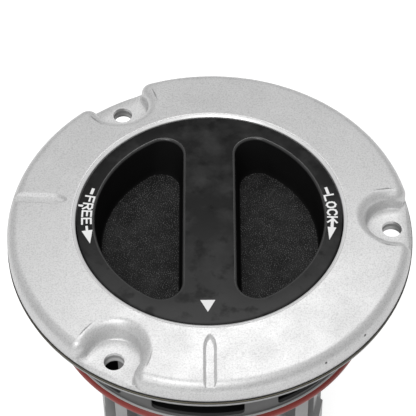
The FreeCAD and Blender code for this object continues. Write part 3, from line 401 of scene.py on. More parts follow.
# The gasket's edge: olive sheet colour between near-black bands that are painted shade, the top one the
# shadow under the cover.
SHEET_SHADE_BANDS = ((0.0, grey(0.10)), (0.22, grey(0.12)), (0.34, SHEET), (0.62, SHEET), (0.72, grey(0.10)),
               (1.0, grey(0.08)))
# The cage's rims: light grey painted highlights on the lip and the flange's upper edge, fading to painted
# shade at the flange's foot.
FLANGE_LIGHT_AND_SHADE_BANDS = ((0.0, grey(0.70)), (0.935, grey(0.35)), (0.955, grey(0.70)), (1.0, grey(0.74)))


class Finishes(Enum):
    """The finishes that the hub's pieces take."""

    CAST = CastSilver("cast_silver", grey(0.87), 0.015, 0.45, 0.44, 0.5, 0.03, 0.35, 20.0, specks=SPECKS)
    CUT = Finish("cut_aluminium", grey(0.97), 0.03, 0.4, 0.34, 0.35, 0.02, 0.4, 8.0)
    # The gasket's edge bands hold painted shade; its lighter grey inside is painted light that lifts the
    # shade seen through the bolt holes.
    GASKET = BandedFinish("gasket_sheet", (0.035, 0.034, 0.022), 0.2, 0.0, 0.8, 0.6, 0.03, 0.4,
                          inner_radius=54.5, low=1.4, high=2.5, painted_inner_light=grey(0.62), bands=SHEET_SHADE_BANDS)
    # The cage's light rim bands are painted highlights and shade; everything inside the shade radius is
    # painted near-black shade.
    CAGE = BandedFinish("cage_coating", grey(0.36), 0.08, 0.25, 0.5, 0.5, 0.02, 0.25,
                        inner_radius=45.5, low=-22.4, high=1.4, painted_shade_radius=44.2, bands=FLANGE_LIGHT_AND_SHADE_BANDS)
    RED = Finish("red_rubber", (0.30, 0.036, 0.028), 0.10, 0.0, 0.42, 1.2, 0.02, 0.25)
    SEAL = Finish("black_rubber", grey(0.12), 0.1, 0.0, 0.5, 1.0, 0.02, 0.2)
    # The dial plastic carries painted sheen that lightens its front.
    DIAL = DialPlastic("dial_plastic", grey(0.10), 0.12, 0.0, 0.3, 0.35, 0.012, 0.2, specular=0.06)
    # The well rims' lighter colour is a painted highlight; their lower roughness is real gloss.
    EDGE = Finish("dial_edge", grey(0.22), 0.10, 0.0, 0.25, 0.35, 0.01, 0.15)
    WALL = Finish("well_wall", grey(0.10), 0.1, 0.0, 0.9, 0.4, 0.01, 0.2, specular=0.0, bend=1.02)
    FLOOR = Finish("stippled_plastic", grey(0.15), 0.3, 0.0, 0.7, 0.5, 0.03, 0.5, 6.0, specular=0.1)
    # The grains are lighter than the floor plastic they stand on: painted highlight on their tops.
    GRAIN = Finish("stipple_grain", grey(0.35), 0.5, 0.0, 0.6, 0.4, 0.01, 0.3, 1.6, specular=0.2)
    PAINT = Finish("white_paint", grey(0.93), 0.03, 0.0, 0.55, 0.3, 0.01, 0.3)
    SLEEVE = Finish("sleeve_plastic", grey(0.04), 0.1, 0.0, 0.9, 0.6, 0.02, 0.3, specular=0.0, bend=1.05)
    STEEL = MachinedSteel("machined_steel", grey(0.56), 0.06, 0.7, 0.42, 0.8, 0.01, 0.2)
    DARK_STEEL = MachinedSteel("dark_steel", grey(0.45), 0.08, 0.7, 0.42, 0.8, 0.01, 0.2)
    SPRING = Finish("spring_wire", grey(0.42), 0.08, 0.9, 0.32, 1.5, 0.01, 0.15)
    BRONZE = Finish("bearing_bronze", (0.45, 0.27, 0.11), 0.08, 0.85, 0.38, 0.8, 0.01, 0.2)

    def material(self) -> bpy.types.Material:
        """Returns this finish's material, made once."""
        return bpy.data.materials.get(self.value.title) or self.value.build()


def finish_with(obj: bpy.types.Object, *finishes: Finishes) -> None:
    """Adds a piece's finishes, one for each material index."""
    for finish in finishes:
        obj.data.materials.append(finish.material())


# Pieces

@dataclass
class CastCover:
    """The crowned cover ring with three bolt pockets and two index marks."""

    outer: float = 56.0
    bottom: float = 2.5
    top: float = 10.4
    bore: float = 36.9
    bore_chamfer: float = 0.9
    counterbore: float = 41.2
    ledge: float = 5.3
    crown_drop: float = 2.0
    wide_by: float = 4.6
    wide_until: float = 27.0
    shoulder: float = 2.8
    bolt_circle: float = 50.55
    pocket: float = 7.5
    mouth: float = 3.2
    pocket_floor: float = 3.5
    floor_round: float = 0.8
    floor_chord: float = 54.75
    rim_lip: float = 2.85
    plate_sink: float = 0.6
    plate_margin: float = 0.9
    hole: float = 2.75
    mark_angles: tuple[float, ...] = (270.0, 170.6)
    mark_start: float = 40.1
    mark_half: float = 1.75
    mark_tip: float = 3.9
    mark_depth: float = 0.8
    mark_slope: float = 0.7
    pockets: int = 3
    mouth_steps: int = 12
    pocket_steps: int = 44
    crown_steps: int = 46
    shoulder_steps: int = 12
    foot_steps: int = 6
    arc_steps: int = 40

    @property
    def turn_x(self) -> float:
        """How far out a pocket's straight wall ends and its mouth begins to turn."""
        return math.sqrt((self.outer - self.mouth) ** 2 - (self.pocket + self.mouth) ** 2)

    @property
    def touch(self) -> float:
        """The angle from a pocket's middle to where its mouth meets the rim."""
        return math.degrees(math.atan2(self.pocket + self.mouth, self.turn_x))

    @property
    def crown_start(self) -> float:
        """The radius at which the bore's chamfer ends and the crown begins."""
        return self.bore + self.bore_chamfer

    def mouth_bend(self, side: float, start: float, stop: float) -> list[WallPoint]:
        """Returns one rounded corner of a pocket's mouth, as points with outward normals."""
        bend = []
        for k in range(self.mouth_steps + 1):
            nx, ny = polar(1.0, start + (stop - start) * k / self.mouth_steps)
            bend.append((self.turn_x + self.mouth * nx, side + self.mouth * ny, nx, ny))
        return bend

    def pocket_wall(self) -> list[WallPoint]:
        """Returns the pocket's wall from rim to rim, as points with outward normals."""
        side = self.pocket + self.mouth
        wall = self.mouth_bend(-side, -self.touch, 90.0)
        for k in range(self.pocket_steps + 1):
            nx, ny = polar(1.0, 270 - 180 * k / self.pocket_steps)
            wall.append((self.bolt_circle + self.pocket * nx, self.pocket * ny, -nx, -ny))
        return wall + self.mouth_bend(side, -90.0, self.touch)

    def rim_angles(self, start: float, stop: float) -> list[float]:
        """Returns rim angles between two pockets, closer together at the index marks."""
        angles = []
        angle = start + 0.5
        while angle < stop - 0.4:
            angles.append(angle)
            near = any(abs((angle - mark + 180) % 360 - 180) < 3.2 for mark in self.mark_angles)
            angle += 0.11 if near else 0.55
        return angles

    def bore_angle(self, angle: float) -> float:
        """Returns the bore's angle that faces a rim angle, both from a pocket's middle.

        The bore's angles stand wide of a pocket, so the lines between them don't crowd there.
        """
        share = min(1.0, max(0.0, (angle - self.touch) / (self.wide_until - self.touch)))
        return angle + self.wide_by * (1 - share * share * (3 - 2 * share))

    def outline(self) -> list[RimRow]:
        """Returns the whole outline: points, outward normals and matching bore angles."""
        rows = []
        touch, pitch = self.touch, 360.0 / self.pockets
        wall = self.pocket_wall()
        lengths = [0.0]
        for first, second in zip(wall, wall[1:]):
            lengths.append(lengths[-1] + math.dist(first[:2], second[:2]))
        for base in (pitch * order for order in range(self.pockets)):
            for (x, y, nx, ny), along in zip(wall, lengths):
                target = base + self.bore_angle(touch) * (2 * along / lengths[-1] - 1)
                rows.append((*turned((x, y), base), *turned((nx, ny), base), target))
            for angle in self.rim_angles(base + touch, base + pitch - touch):
                nx, ny = polar(1.0, angle)
                past = (angle - base + pitch / 2) % pitch - pitch / 2
                target = angle - past + math.copysign(self.bore_angle(abs(past)), past)
                rows.append((self.outer * nx, self.outer * ny, nx, ny, target))
        return rows

    def mark_sink(self, x: float, y: float) -> float:
        """Returns how deep an index mark is at a point, 0 outside it."""
        for angle in self.mark_angles:
            along, across = turned((x, y), -angle)
            past = along - self.mark_start
            if past <= 0 or abs(across) > self.mark_half:
                continue
            short = max(0.0, 1 - past / self.mark_tip)
            half = self.mark_half * (1 - short * short) ** 0.62
            return self.mark_depth * min(1.0, max(0.0, (half - abs(across)) / self.mark_slope))
        return 0.0

    def on_top(self, x: float, y: float, drop: float = 0.0) -> Point:
        """Returns the point of the top over a place, lowered by a shoulder's drop or by a mark."""
        past = math.hypot(x, y) - self.crown_start
        crown = self.top - self.crown_drop * past / (self.outer - self.crown_start)
        return x, y, crown - max(drop, self.mark_sink(x, y))

    def crown_ring(self, rows: Sequence[RimRow], share: float) -> list[Point]:
        """Returns a ring of the crown, at a share of the way from the bore to the shoulder."""
        ring = []
        for x, y, nx, ny, target in rows:
            ax, ay = polar(self.crown_start + 0.12, target)
            bx, by = x - nx * self.shoulder, y - ny * self.shoulder
            ring.append(self.on_top(ax + (bx - ax) * share, ay + (by - ay) * share))
        return ring

    def shoulder_ring(self, rows: Sequence[RimRow], turn: float) -> list[Point]:
        """Returns a ring of the rounded shoulder, at an angle from straight up."""
        inset = self.shoulder * (1 - math.sin(turn))
        drop = self.shoulder * (1 - math.cos(turn))
        return [self.on_top(x - nx * inset, y - ny * inset, drop) for x, y, nx, ny, _ in rows]

    def shell(self) -> bpy.types.Object:
        """Returns the ring itself, closed, with the pockets cut through its full height."""
        rows = self.outline()
        edge = self.top - 0.62
        section = ((self.counterbore, self.bottom), (self.counterbore, self.ledge), (self.bore, self.ledge),
                   (self.bore, edge), (self.bore + 0.06, self.top - 0.50), (self.bore + 0.2, self.top - 0.40),
                   (self.crown_start - 0.20, self.top - 0.13), (self.crown_start - 0.10, self.top - 0.16))
        rings = [[(*polar(radius, row[4]), height) for row in rows] for radius, height in section]
        rings += [self.crown_ring(rows, step / self.crown_steps) for step in range(self.crown_steps + 1)]
        rings += [self.shoulder_ring(rows, math.radians(90 * step / self.shoulder_steps))
                  for step in range(1, self.shoulder_steps + 1)]
        rings += [[(row[0], row[1], height) for row in rows] for height in (5.2, 4.2, 3.2, self.bottom)]
        obj = ring_object("cover_ring", rings, 40.0)
        finish_with(obj, Finishes.CAST, Finishes.CUT)
        for face in obj.data.polygons:
            reach = math.hypot(face.center.x, face.center.y) / MM
            if reach < self.crown_start - 0.1 and face.center.z > edge * MM:
                face.material_index = 1
        return obj

    def inside_rim(self) -> list[bool]:
        """Returns, for each point of the pocket's wall, whether it stands well inside the rim."""
        return [math.hypot(x, y) < self.outer - self.plate_margin for x, y, _, _ in self.pocket_wall()]

    def plate_outline(self, chord: float, sink: float) -> list[Flat]:
        """Returns a pocket floor's outline.

        Args:
            chord: How far out the straight outer edge stands; the rim's arc shows if it is less.
            sink: How far the walled part reaches out of the pocket's wall.

        Returns:
            The points, one walled run and then one run along the rim, in the same order always.
        """
        points = []
        for (x, y, nx, ny), inside in zip(self.pocket_wall(), self.inside_rim()):
            reach = sink if inside else -self.plate_sink
            points.append((min(x + nx * reach, chord), y + ny * reach))
        arc = [polar(self.outer, self.touch * (1 - 2 * k / self.arc_steps))
               for k in range(self.arc_steps + 1)]
        return points + [(min(x, chord), y) for x, y in arc]

    def plate_rings(self) -> list[list[Point]]:
        """Returns a pocket floor's rings: its side from the bottom up, then the wall's rounded foot."""
        floor, chord = self.pocket_floor, self.floor_chord
        levels = ((self.outer, self.bottom), (self.outer, self.rim_lip), (chord + 0.25, floor - 0.09),
                  (chord, floor))
        rings = [[(x, y, height) for x, y in self.plate_outline(reach, -self.plate_sink)]
                 for reach, height in levels]
        raised = self.inside_rim() + [False] * (self.arc_steps + 1)
        for step in range(self.foot_steps + 1):
            turn = math.radians(90 * step / self.foot_steps)
            lift = self.floor_round * (1 - math.sin(turn))
            outline = self.plate_outline(chord, self.floor_round * (1 - math.cos(turn)))
            rings.append([(x, y, floor + lift * up) for (x, y), up in zip(outline, raised)])
        return rings

    def pocket_plate(self, angle: float) -> bpy.types.Object:
        """Returns a pocket's floor: a plate out to the rim, with a rounded foot and a bolt hole."""
        shape = bmesh.new()
        rings = [add_ring(shape, ring) for ring in self.plate_rings()]
        bridge(shape, rings)
        circle = [polar(self.hole, 360.0 * k / self.arc_steps) for k in range(self.arc_steps)]
        holes = [add_ring(shape, [(self.bolt_circle + x, y, height) for x, y in circle])
                 for height in (self.pocket_floor, self.bottom)]
        fill_between(shape, (rings[-1], holes[0]))
        fill_between(shape, (rings[0], holes[1]))
        bridge(shape, (holes[1], holes[0]))
        bmesh.ops.remove_doubles(shape, verts=shape.verts, dist=WELD_DISTANCE)
        bmesh.ops.rotate(shape, verts=shape.verts, cent=(0, 0, 0),
                         matrix=Matrix.Rotation(math.radians(angle), 3, "Z"))
        plate = finished(shape, f"cover_pocket_floor_{angle:.0f}", 24.0)
        finish_with(plate, Finishes.CAST)
        return plate

    def build(self) -> None:
        """Makes the cover, dresses it and seats it on the housing."""
        cover = self.shell()
        parts = [cover] + [self.pocket_plate(360.0 * order / self.pockets) for order in range(self.pockets)]
        with bpy.context.temp_override(active_object=cover, selected_editable_objects=parts,
                                       selected_objects=parts, object=cover):
            bpy.ops.object.join()
        cover.name = "cover_casting"
        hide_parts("cover")
        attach(cover, "housing")
        LOG.info("cover: %d faces", len(cover.data.polygons))


@dataclass
class FingerDial:
    """The dial: a drum with two finger wells, a grip bar, stippled floors and white lettering."""

    radius: float = 36.5
    top: float = 10.2
    edge: float = 0.4
    well: float = 31.6
    well_floor: float = 30.5
    grip: float = 7.3
    grip_floor: float = 8.4
    corner: float = 5.6
    rim_round: float = 0.65
    floor_round: float = 0.35
    floor: float = -2.3
    bottom: float = -5.0
    collar: float = 40.8
    collar_top: float = 5.0
    collar_bottom: float = 2.9
    bucket: float = 34.0
    stipple_pitch: float = 0.42
    stipple_grain: float = 0.15
    round_steps: int = 7
    wall_steps: int = 10
    arc_steps: int = 60
    corner_steps: int = 16
    side_steps: int = 12
    drum_steps: int = 288
    edge_steps: int = 5

    def well_outline(self, outer: float, side: float, grow: float = 0.0) -> list[Flat]:
        """Returns the D-shaped outline of the right-hand well.

        Args:
            outer: Radius of the arc about the spin axis.
            side: Distance of the straight side from the axis.
            grow: How far every point stands outside the outline.

        Returns:
            The points, counter-clockwise.
        """
        corner, middle = self.corner, side + self.corner
        reach = math.sqrt((outer - corner) ** 2 - middle ** 2)
        bend = math.degrees(math.atan2(reach, middle))
        points = [polar(outer + grow, -bend + 2 * bend * k / self.arc_steps)
                  for k in range(self.arc_steps + 1)]
        for k in range(1, self.corner_steps + 1):
            x, y = polar(corner + grow, bend + (180 - bend) * k / self.corner_steps)
            points.append((middle + x, reach + y))
        for k in range(1, self.side_steps):
            points.append((side - grow, reach - 2 * reach * k / self.side_steps))
        for k in range(self.corner_steps):
            x, y = polar(corner + grow, 180 + (180 - bend) * k / self.corner_steps)
            points.append((middle + x, -reach + y))
        return points

    def well_rings(self) -> list[list[Point]]:
        """Returns the well's rings from its rim to its floor."""
        rings = []
        turns = [math.radians(90 * k / self.round_steps) for k in range(self.round_steps + 1)]
        for turn in turns:
            outline = self.well_outline(self.well, self.grip, self.rim_round * (1 - math.sin(turn)))
            height = self.top - self.rim_round * (1 - math.cos(turn))
            rings.append([(x, y, height) for x, y in outline])
        high, low = self.top - self.rim_round, self.floor + self.floor_round
        for k in range(1, self.wall_steps + 1):
            height = high + (low - high) * k / self.wall_steps
            share = (self.top - height) / (self.top - self.floor)
            outline = self.well_outline(self.well + (self.well_floor - self.well) * share,
                                        self.grip + (self.grip_floor - self.grip) * share)
            rings.append([(x, y, height) for x, y in outline])
        for turn in turns[1:]:
            outline = self.well_outline(self.well_floor, self.grip_floor,
                                        -self.floor_round * (1 - math.cos(turn)))
            height = self.floor + self.floor_round * (1 - math.sin(turn))
            rings.append([(x, y, height) for x, y in outline])
        return rings

    def drum_rings(self) -> list[list[Point]]:
        """Returns the drum's rings from its bevelled top edge to its bottom."""
        section = []
        for k in range(self.edge_steps + 1):
            turn = math.radians(90 * k / self.edge_steps)
            section.append((self.radius - self.edge * (1 - math.sin(turn)),
                            self.top - self.edge * (1 - math.cos(turn))))
        section += [(self.radius, self.collar_top), (self.collar, self.collar_top),
                    (self.collar, self.collar_bottom), (self.bucket, self.collar_bottom),
                    (self.bucket, self.bottom)]
        return [[(*polar(radius, 360.0 * k / self.drum_steps), height) for k in range(self.drum_steps)]
                for radius, height in section]

    def body(self) -> bpy.types.Object:
        """Returns the drum with its wells as one closed mesh, each finish on its own material index."""
        top, floor, edge, wall = range(4)
        shape = bmesh.new()
        rings = [add_ring(shape, ring) for ring in self.drum_rings()]
        bridge(shape, rings)
        shape.faces.new(list(reversed(rings[-1])))
        loops = [rings[0]]
        for side in (0.0, 180.0):
            well = [add_ring(shape, [(*turned((x, y), side), height) for x, y, height in ring])
                    for ring in self.well_rings()]
            start = len(shape.faces)
            bridge(shape, well)
            rim_faces = self.round_steps * len(well[0])
            for order, face in enumerate(list(shape.faces)[start:]):
                # The rim fillet faces take the edge finish, lighter as a painted highlight.
                face.material_index = edge if order < rim_faces else wall
            shape.faces.new(well[-1]).material_index = floor
            loops.append(well[0])
        for face in fill_between(shape, loops):
            if isinstance(face, bmesh.types.BMFace):
                face.material_index = top
        return finished(shape, "dial_drum", 40.0)

    def stipple(self, side: float) -> bpy.types.Object:
        """Returns the fine raised grains on one well's floor."""
        outline = self.well_outline(self.well_floor, self.grip_floor, -self.floor_round)
        points = [(*turned(point, side), self.floor) for point in outline]
        bed = new_object("stipple_bed", points, [tuple(range(len(points)))])
        grains = run_geometry(bed, stipple_tree(), {"Pitch": self.stipple_pitch * MM,
                                                    "Grain": self.stipple_grain * MM, "Seed": int(side) + 3})
        grains.name = "dial_stipple_right" if side == 0 else "dial_stipple_left"
        return grains

    def build(self) -> None:
        """Makes the dial and its dress, all riding on the dial body."""
        drum = self.body()
        finish_with(drum, Finishes.DIAL, Finishes.FLOOR, Finishes.EDGE, Finishes.WALL)
        drum.name = "dial_knob"
        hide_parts("dial")
        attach(drum, "dial")
        for side in (0.0, 180.0):
            grains = self.stipple(side)
            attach(grains, "dial")
            LOG.info("%s: %d faces", grains.name, len(grains.data.polygons))
        DialLettering(self.top).build()
        LOG.info("dial: %d faces", len(drum.data.polygons))


@dataclass
class DialLettering:
    """The white paint on the dial: a pointer, two words and their arrows."""

    level: float
    paint: float = 0.03
    sunk: float = 0.01
    overlap_step: float = 0.0008
    letter_height: float = 2.95
    letter_width: float = 1.85
    letter_gap: float = 0.79
    stroke: float = 0.52
    radius: float = 33.8
    strokes: dict[str, list[list[Flat]]] = field(default_factory=lambda: {
        "F": [[(0, 0), (0, 1), (1, 1)], [(0, 0.53), (0.85, 0.53)]],
        "R": [[(0, 0), (0, 1), (0.75, 1), (1, 0.82), (1, 0.68), (0.75, 0.5), (0, 0.5)], [(0.5, 0.5), (1, 0)]],
        "E": [[(1, 0), (0, 0), (0, 1), (1, 1)], [(0, 0.53), (0.85, 0.53)]],
        "L": [[(0, 1), (0, 0), (1, 0)]],
        "O": [[(0.5, 0), (0.15, 0.12), (0, 0.35), (0, 0.65), (0.15, 0.88), (0.5, 1), (0.85, 0.88),
               (1, 0.65), (1, 0.35), (0.85, 0.12), (0.5, 0)]],
        "C": [[(1, 0.2), (0.8, 0.04), (0.5, 0), (0.15, 0.12), (0, 0.35), (0, 0.65), (0.15, 0.88),
               (0.5, 1), (0.8, 0.96), (1, 0.8)]],
        "K": [[(0, 0), (0, 1)], [(0, 0.35), (1, 1)], [(0.35, 0.58), (1, 0)]],
    })

    def place(self, angle: float, along: float, up: float, up_sign: float) -> Flat:
        """Returns a point of a word that reads clockwise or anticlockwise round the rim.

        Args:
            angle: Where the word starts, in degrees.
            along: Distance past that angle in the reading direction, in millimetres.
            up: Height above the letter's middle.
            up_sign: 1 if the letters' tops point away from the axis, -1 if towards it.

        Returns:
            The point on the dial's face.
        """
        reading = -1.0 if up_sign > 0 else 1.0
        return polar(self.radius + up_sign * up, angle + reading * math.degrees(along / self.radius))

    def patch(self, angle: float, up_sign: float, corners: Sequence[Flat]) -> list[Flat]:
        """Returns a shape given by how far along and how high each corner stands."""
        return [self.place(angle, x, y, up_sign) for x, y in corners]

    def ribbon(self, line: Sequence[Flat]) -> list[list[Flat]]:
        """Returns the four-sided strips of a stroke, one for each straight run."""
        strips = []
        for start, stop in zip(line, line[1:]):
            dx, dy = stop[0] - start[0], stop[1] - start[1]
            length = math.hypot(dx, dy) or 1.0
            ux, uy = dx / length * self.stroke / 2, dy / length * self.stroke / 2
            strips.append([(start[0] - ux + uy, start[1] - uy - ux), (stop[0] + ux + uy, stop[1] + uy - ux),
                           (stop[0] + ux - uy, stop[1] + uy + ux), (start[0] - ux - uy, start[1] - uy + ux)])
        return strips

    def word(self, text: str, angle: float, up_sign: float) -> list[list[Flat]]:
        """Returns the flat shapes of a word that starts at an angle on the rim."""
        shapes = []
        tall = self.letter_height - self.stroke
        for order, letter in enumerate(text):
            pen = order * (self.letter_width + self.letter_gap)
            for line in self.strokes[letter]:
                scaled = [(pen + x * self.letter_width, (y - 0.5) * tall) for x, y in line]
                shapes += [self.patch(angle, up_sign, strip) for strip in self.ribbon(scaled)]
        return shapes

    def bar(self, angle: float, up_sign: float, length: float, thick: float) -> list[Flat]:
        """Returns a straight bar that starts at an angle, thick to both sides of the middle."""
        return self.patch(angle, up_sign, [(0.0, -thick), (length, -thick), (length, thick), (0.0, thick)])

    def arrow(self, angle: float, up_sign: float, shaft: float, thick: float, head: float,
              half: float) -> list[list[Flat]]:
        """Returns an arrow that starts at an angle and points the way the word reads."""
        tip = [(shaft, -half), (shaft + head, 0.0), (shaft, half)]
        return [self.bar(angle, up_sign, shaft, thick), self.patch(angle, up_sign, tip)]

    def shapes(self) -> list[list[Flat]]:
        """Returns every mark on the dial's face as flat shapes."""
        inward, outward = -1.0, 1.0
        smear = [(0, -2.7), (0.55, -2.6), (0.75, -1.4), (0, -1.2)]
        marks = self.word("FREE", 167.5, inward)
        marks += [self.bar(162.4, inward, 2.15, 0.42), self.patch(172.9, inward, smear)]
        marks += self.arrow(185.4, inward, 1.6, 0.33, 4.7, 1.5)
        marks += self.word("LOCK", 11.8, outward)
        marks += [self.bar(16.7, outward, 2.5, 0.4)]
        marks += self.arrow(-2.9, outward, 2.85, 0.42, 4.5, 1.2)
        return marks + [[(-2.5, -28.9), (-0.5, -32.8), (1.5, -28.9)]]

    def build(self) -> None:
        """Lays every mark on the dial's face as a thin film of paint."""
        points: list[Point] = []
        faces: list[tuple[int, ...]] = []
        for order, shape in enumerate(self.shapes()):
            high = self.level + self.paint + self.overlap_step * order
            start, count = len(points), len(shape)
            area = sum(a[0] * b[1] - b[0] * a[1] for a, b in zip(shape, shape[1:] + shape[:1]))
            loop = shape if area > 0 else list(reversed(shape))
            points += [(x, y, self.level - self.sunk) for x, y in loop] + [(x, y, high) for x, y in loop]
            faces.append(tuple(start + k for k in reversed(range(count))))
            faces.append(tuple(start + count + k for k in range(count)))
            for k in range(count):
                low, after = start + k, start + (k + 1) % count
                faces.append((low, after, after + count, low + count))
        paint = new_object("dial_paint", points, faces)
        finish_with(paint, Finishes.PAINT)
        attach(paint, "dial")
        LOG.info("lettering: %d faces", len(paint.data.polygons))


# Geometry node trees

class GeometryTree:
    """Builds one geometry node tree with short calls."""

    def __init__(self, name: str, inputs: Sequence[tuple[str, str, float]]) -> None:
        """Starts a tree with a geometry socket and named inputs."""
        self.tree = bpy.data.node_groups.new(name, "GeometryNodeTree")
        self.tree.interface.new_socket("Geometry", in_out="INPUT", socket_type="NodeSocketGeometry")
        for label, kind, value in inputs:
            socket = self.tree.interface.new_socket(label, in_out="INPUT", socket_type=kind)
            socket.default_value = value
        self.tree.interface.new_socket("Geometry", in_out="OUTPUT", socket_type="NodeSocketGeometry")
        self.source = self.add("NodeGroupInput")
        self.sink = self.add("NodeGroupOutput")

    def add(self, kind: str, **settings: object) -> bpy.types.Node:
        """Adds a node and sets its properties."""
        node = self.tree.nodes.new(kind)
        for key, value in settings.items():
            setattr(node, key, value)
        return node

    def join(self, *links: tuple[bpy.types.Node, int | str, bpy.types.Node, int | str]) -> None:
        """Joins sockets, each given as a node, its output, the next node and its input."""
        for first, output, second, target in links:
            self.tree.links.new(first.outputs[output], second.inputs[target])


def stipple_tree() -> bpy.types.GeometryNodeTree:
    """Returns a tree that scatters small raised grains over a face."""
    made = GeometryTree("StippleGrains", [("Pitch", "NodeSocketFloat", 0.0005),
                                          ("Grain", "NodeSocketFloat", 0.0002), ("Seed", "NodeSocketInt", 3)])
    scatter = made.add("GeometryNodeDistributePointsOnFaces", distribute_method="POISSON")
    scatter.inputs["Density Max"].default_value = 8.0e6
    grain = made.add("GeometryNodeMeshIcoSphere")
    grain.inputs["Subdivisions"].default_value = 1
    size = made.add("FunctionNodeRandomValue", data_type="FLOAT")
    size.inputs[2].default_value = 0.75
    size.inputs[3].default_value = 1.25
    place = made.add("GeometryNodeInstanceOnPoints")
    realize = made.add("GeometryNodeRealizeInstances")
    paint = made.add("GeometryNodeSetMaterial")
    paint.inputs["Material"].default_value = Finishes.GRAIN.material()
    made.join((made.source, "Geometry", scatter, "Mesh"), (made.source, "Pitch", scatter, "Distance Min"),
              (made.source, "Seed", scatter, "Seed"), (made.source, "Seed", size, "Seed"),
              (made.source, "Grain", grain, "Radius"), (scatter, "Points", place, "Points"),
              (grain, "Mesh", place, "Instance"), (size, 1, place, "Scale"),
              (place, "Instances", realize, "Geometry"), (realize, "Geometry", paint, "Geometry"),
              (paint, "Geometry", made.sink, "Geometry"))
    return made.tree


def soften_tree() -> bpy.types.GeometryNodeTree:
    """Returns a tree that welds a carried-over solid and shades its curved faces smooth."""
    made = GeometryTree("SoftenFacets", [("Sharp Angle", "NodeSocketFloat", math.radians(28))])
    weld = made.add("GeometryNodeMergeByDistance")
    weld.inputs["Distance"].default_value = WELD_DISTANCE
    angle = made.add("GeometryNodeInputMeshEdgeAngle")
    compare = made.add("FunctionNodeCompare", operation="LESS_THAN")
    all_smooth = made.add("GeometryNodeSetShadeSmooth")
    edges = made.add("GeometryNodeSetShadeSmooth", domain="EDGE")
    made.join((made.source, "Geometry", weld, "Geometry"), (weld, "Geometry", all_smooth, "Geometry"),
              (all_smooth, "Geometry", edges, "Geometry"), (angle, "Unsigned Angle", compare, "A"),
              (made.source, "Sharp Angle", compare, "B"), (compare, "Result", edges, "Shade Smooth"),
              (edges, "Geometry", made.sink, "Geometry"))
    return made.tree


def run_geometry(carrier: bpy.types.Object, tree: bpy.types.GeometryNodeTree,
                 values: dict[str, float]) -> bpy.types.Object:
    """Runs a tree on a carrier object and returns its result as a plain mesh object.

    Args:
        carrier: The object whose mesh the tree reads; it is removed.
        tree: The geometry node tree.
        values: Input values by name.

    Returns:
        A new object at the origin with the finished mesh.
    """
    modifier = carrier.modifiers.new("Shape", "NODES")
    modifier.node_group = tree
    for item in tree.interface.items_tree:
        if item.item_type == "SOCKET" and item.in_out == "INPUT" and item.name in values:
            modifier[item.identifier] = values[item.name]
    bpy.context.view_layer.update()
    evaluated = carrier.evaluated_get(bpy.context.evaluated_depsgraph_get())
    mesh = bpy.data.meshes.new_from_object(evaluated)
    name = carrier.name
    bpy.data.objects.remove(carrier)
    return linked(name, mesh)


# Rings and carried-over solids

@dataclass
class RubberRings:
    """The three rubber rings: the red one on the cage and two black ones inside."""

    rings: tuple[tuple[str, str, float, float, float, str, Finishes], ...] = (
        ("cage_seal", "housing", 44.8, -24.35, 1.5, "red_rubber", Finishes.RED),
        ("body_seal", "housing", 30.2, -28.9, 0.9, "black_rubber", Finishes.SEAL),
        ("dial_seal", "dial", 35.9, 6.6, 0.95, "black_rubber", Finishes.SEAL),
    )
    section_steps: int = 24
    ring_steps: int = 240

    def build(self) -> None:
        """Makes each ring as a smooth torus in the place of its solid."""
        for node, body, radius, height, section, slot, finish in self.rings:
            circle = [polar(section, 360.0 * k / self.section_steps) for k in range(self.section_steps)]
            turns = [360.0 * k / self.ring_steps for k in range(self.ring_steps)]
            ring = ring_object(f"{node}_ring", [[(*polar(radius + x, turn), height + y) for x, y in circle]
                                                for turn in turns])
            finish_with(ring, finish)
            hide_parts(node)
            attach(ring, body)
            LOG.info("%s: %d faces", ring.name, len(ring.data.polygons))


@dataclass
class CarriedPieces:
    """The solids whose shape is already right, which only take a finish."""

    finishes: dict[str, Finishes] = field(default_factory=lambda: {
        "cover_gasket": Finishes.GASKET,
        "cage": Finishes.CAGE,
        "sleeve_washer": Finishes.STEEL,
        "splined_body": Finishes.STEEL,
        "body_screws": Finishes.DARK_STEEL,
        "hub_bush": Finishes.BRONZE,
        "spring_seat": Finishes.STEEL,
        "cam_sleeve": Finishes.SLEEVE,
        "follower": Finishes.DARK_STEEL,
        "follower_pins": Finishes.STEEL,
        "clutch_ring": Finishes.STEEL,
        "clutch_clip": Finishes.SPRING,
        "drive_hub": Finishes.STEEL,
        "hub_thrust_washer": Finishes.BRONZE,
        "hub_clip": Finishes.SPRING,
        "return_spring": Finishes.SPRING,
    })

    def build(self) -> None:
        """Gives each solid its finish and smooth shading over its facets."""
        soften = soften_tree()
        for name, finish in self.finishes.items():
            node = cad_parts[name]
            node.data.materials.clear()
            finish_with(node, finish)
            node.modifiers.new("Soften", "NODES").node_group = soften
            LOG.info("%s: %s", name, finish.value.name)
        self.squeeze_spring()

    @staticmethod
    def squeeze_spring() -> None:
        """Gives the return spring its own copy of its mesh."""
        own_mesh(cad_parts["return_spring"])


# Studio

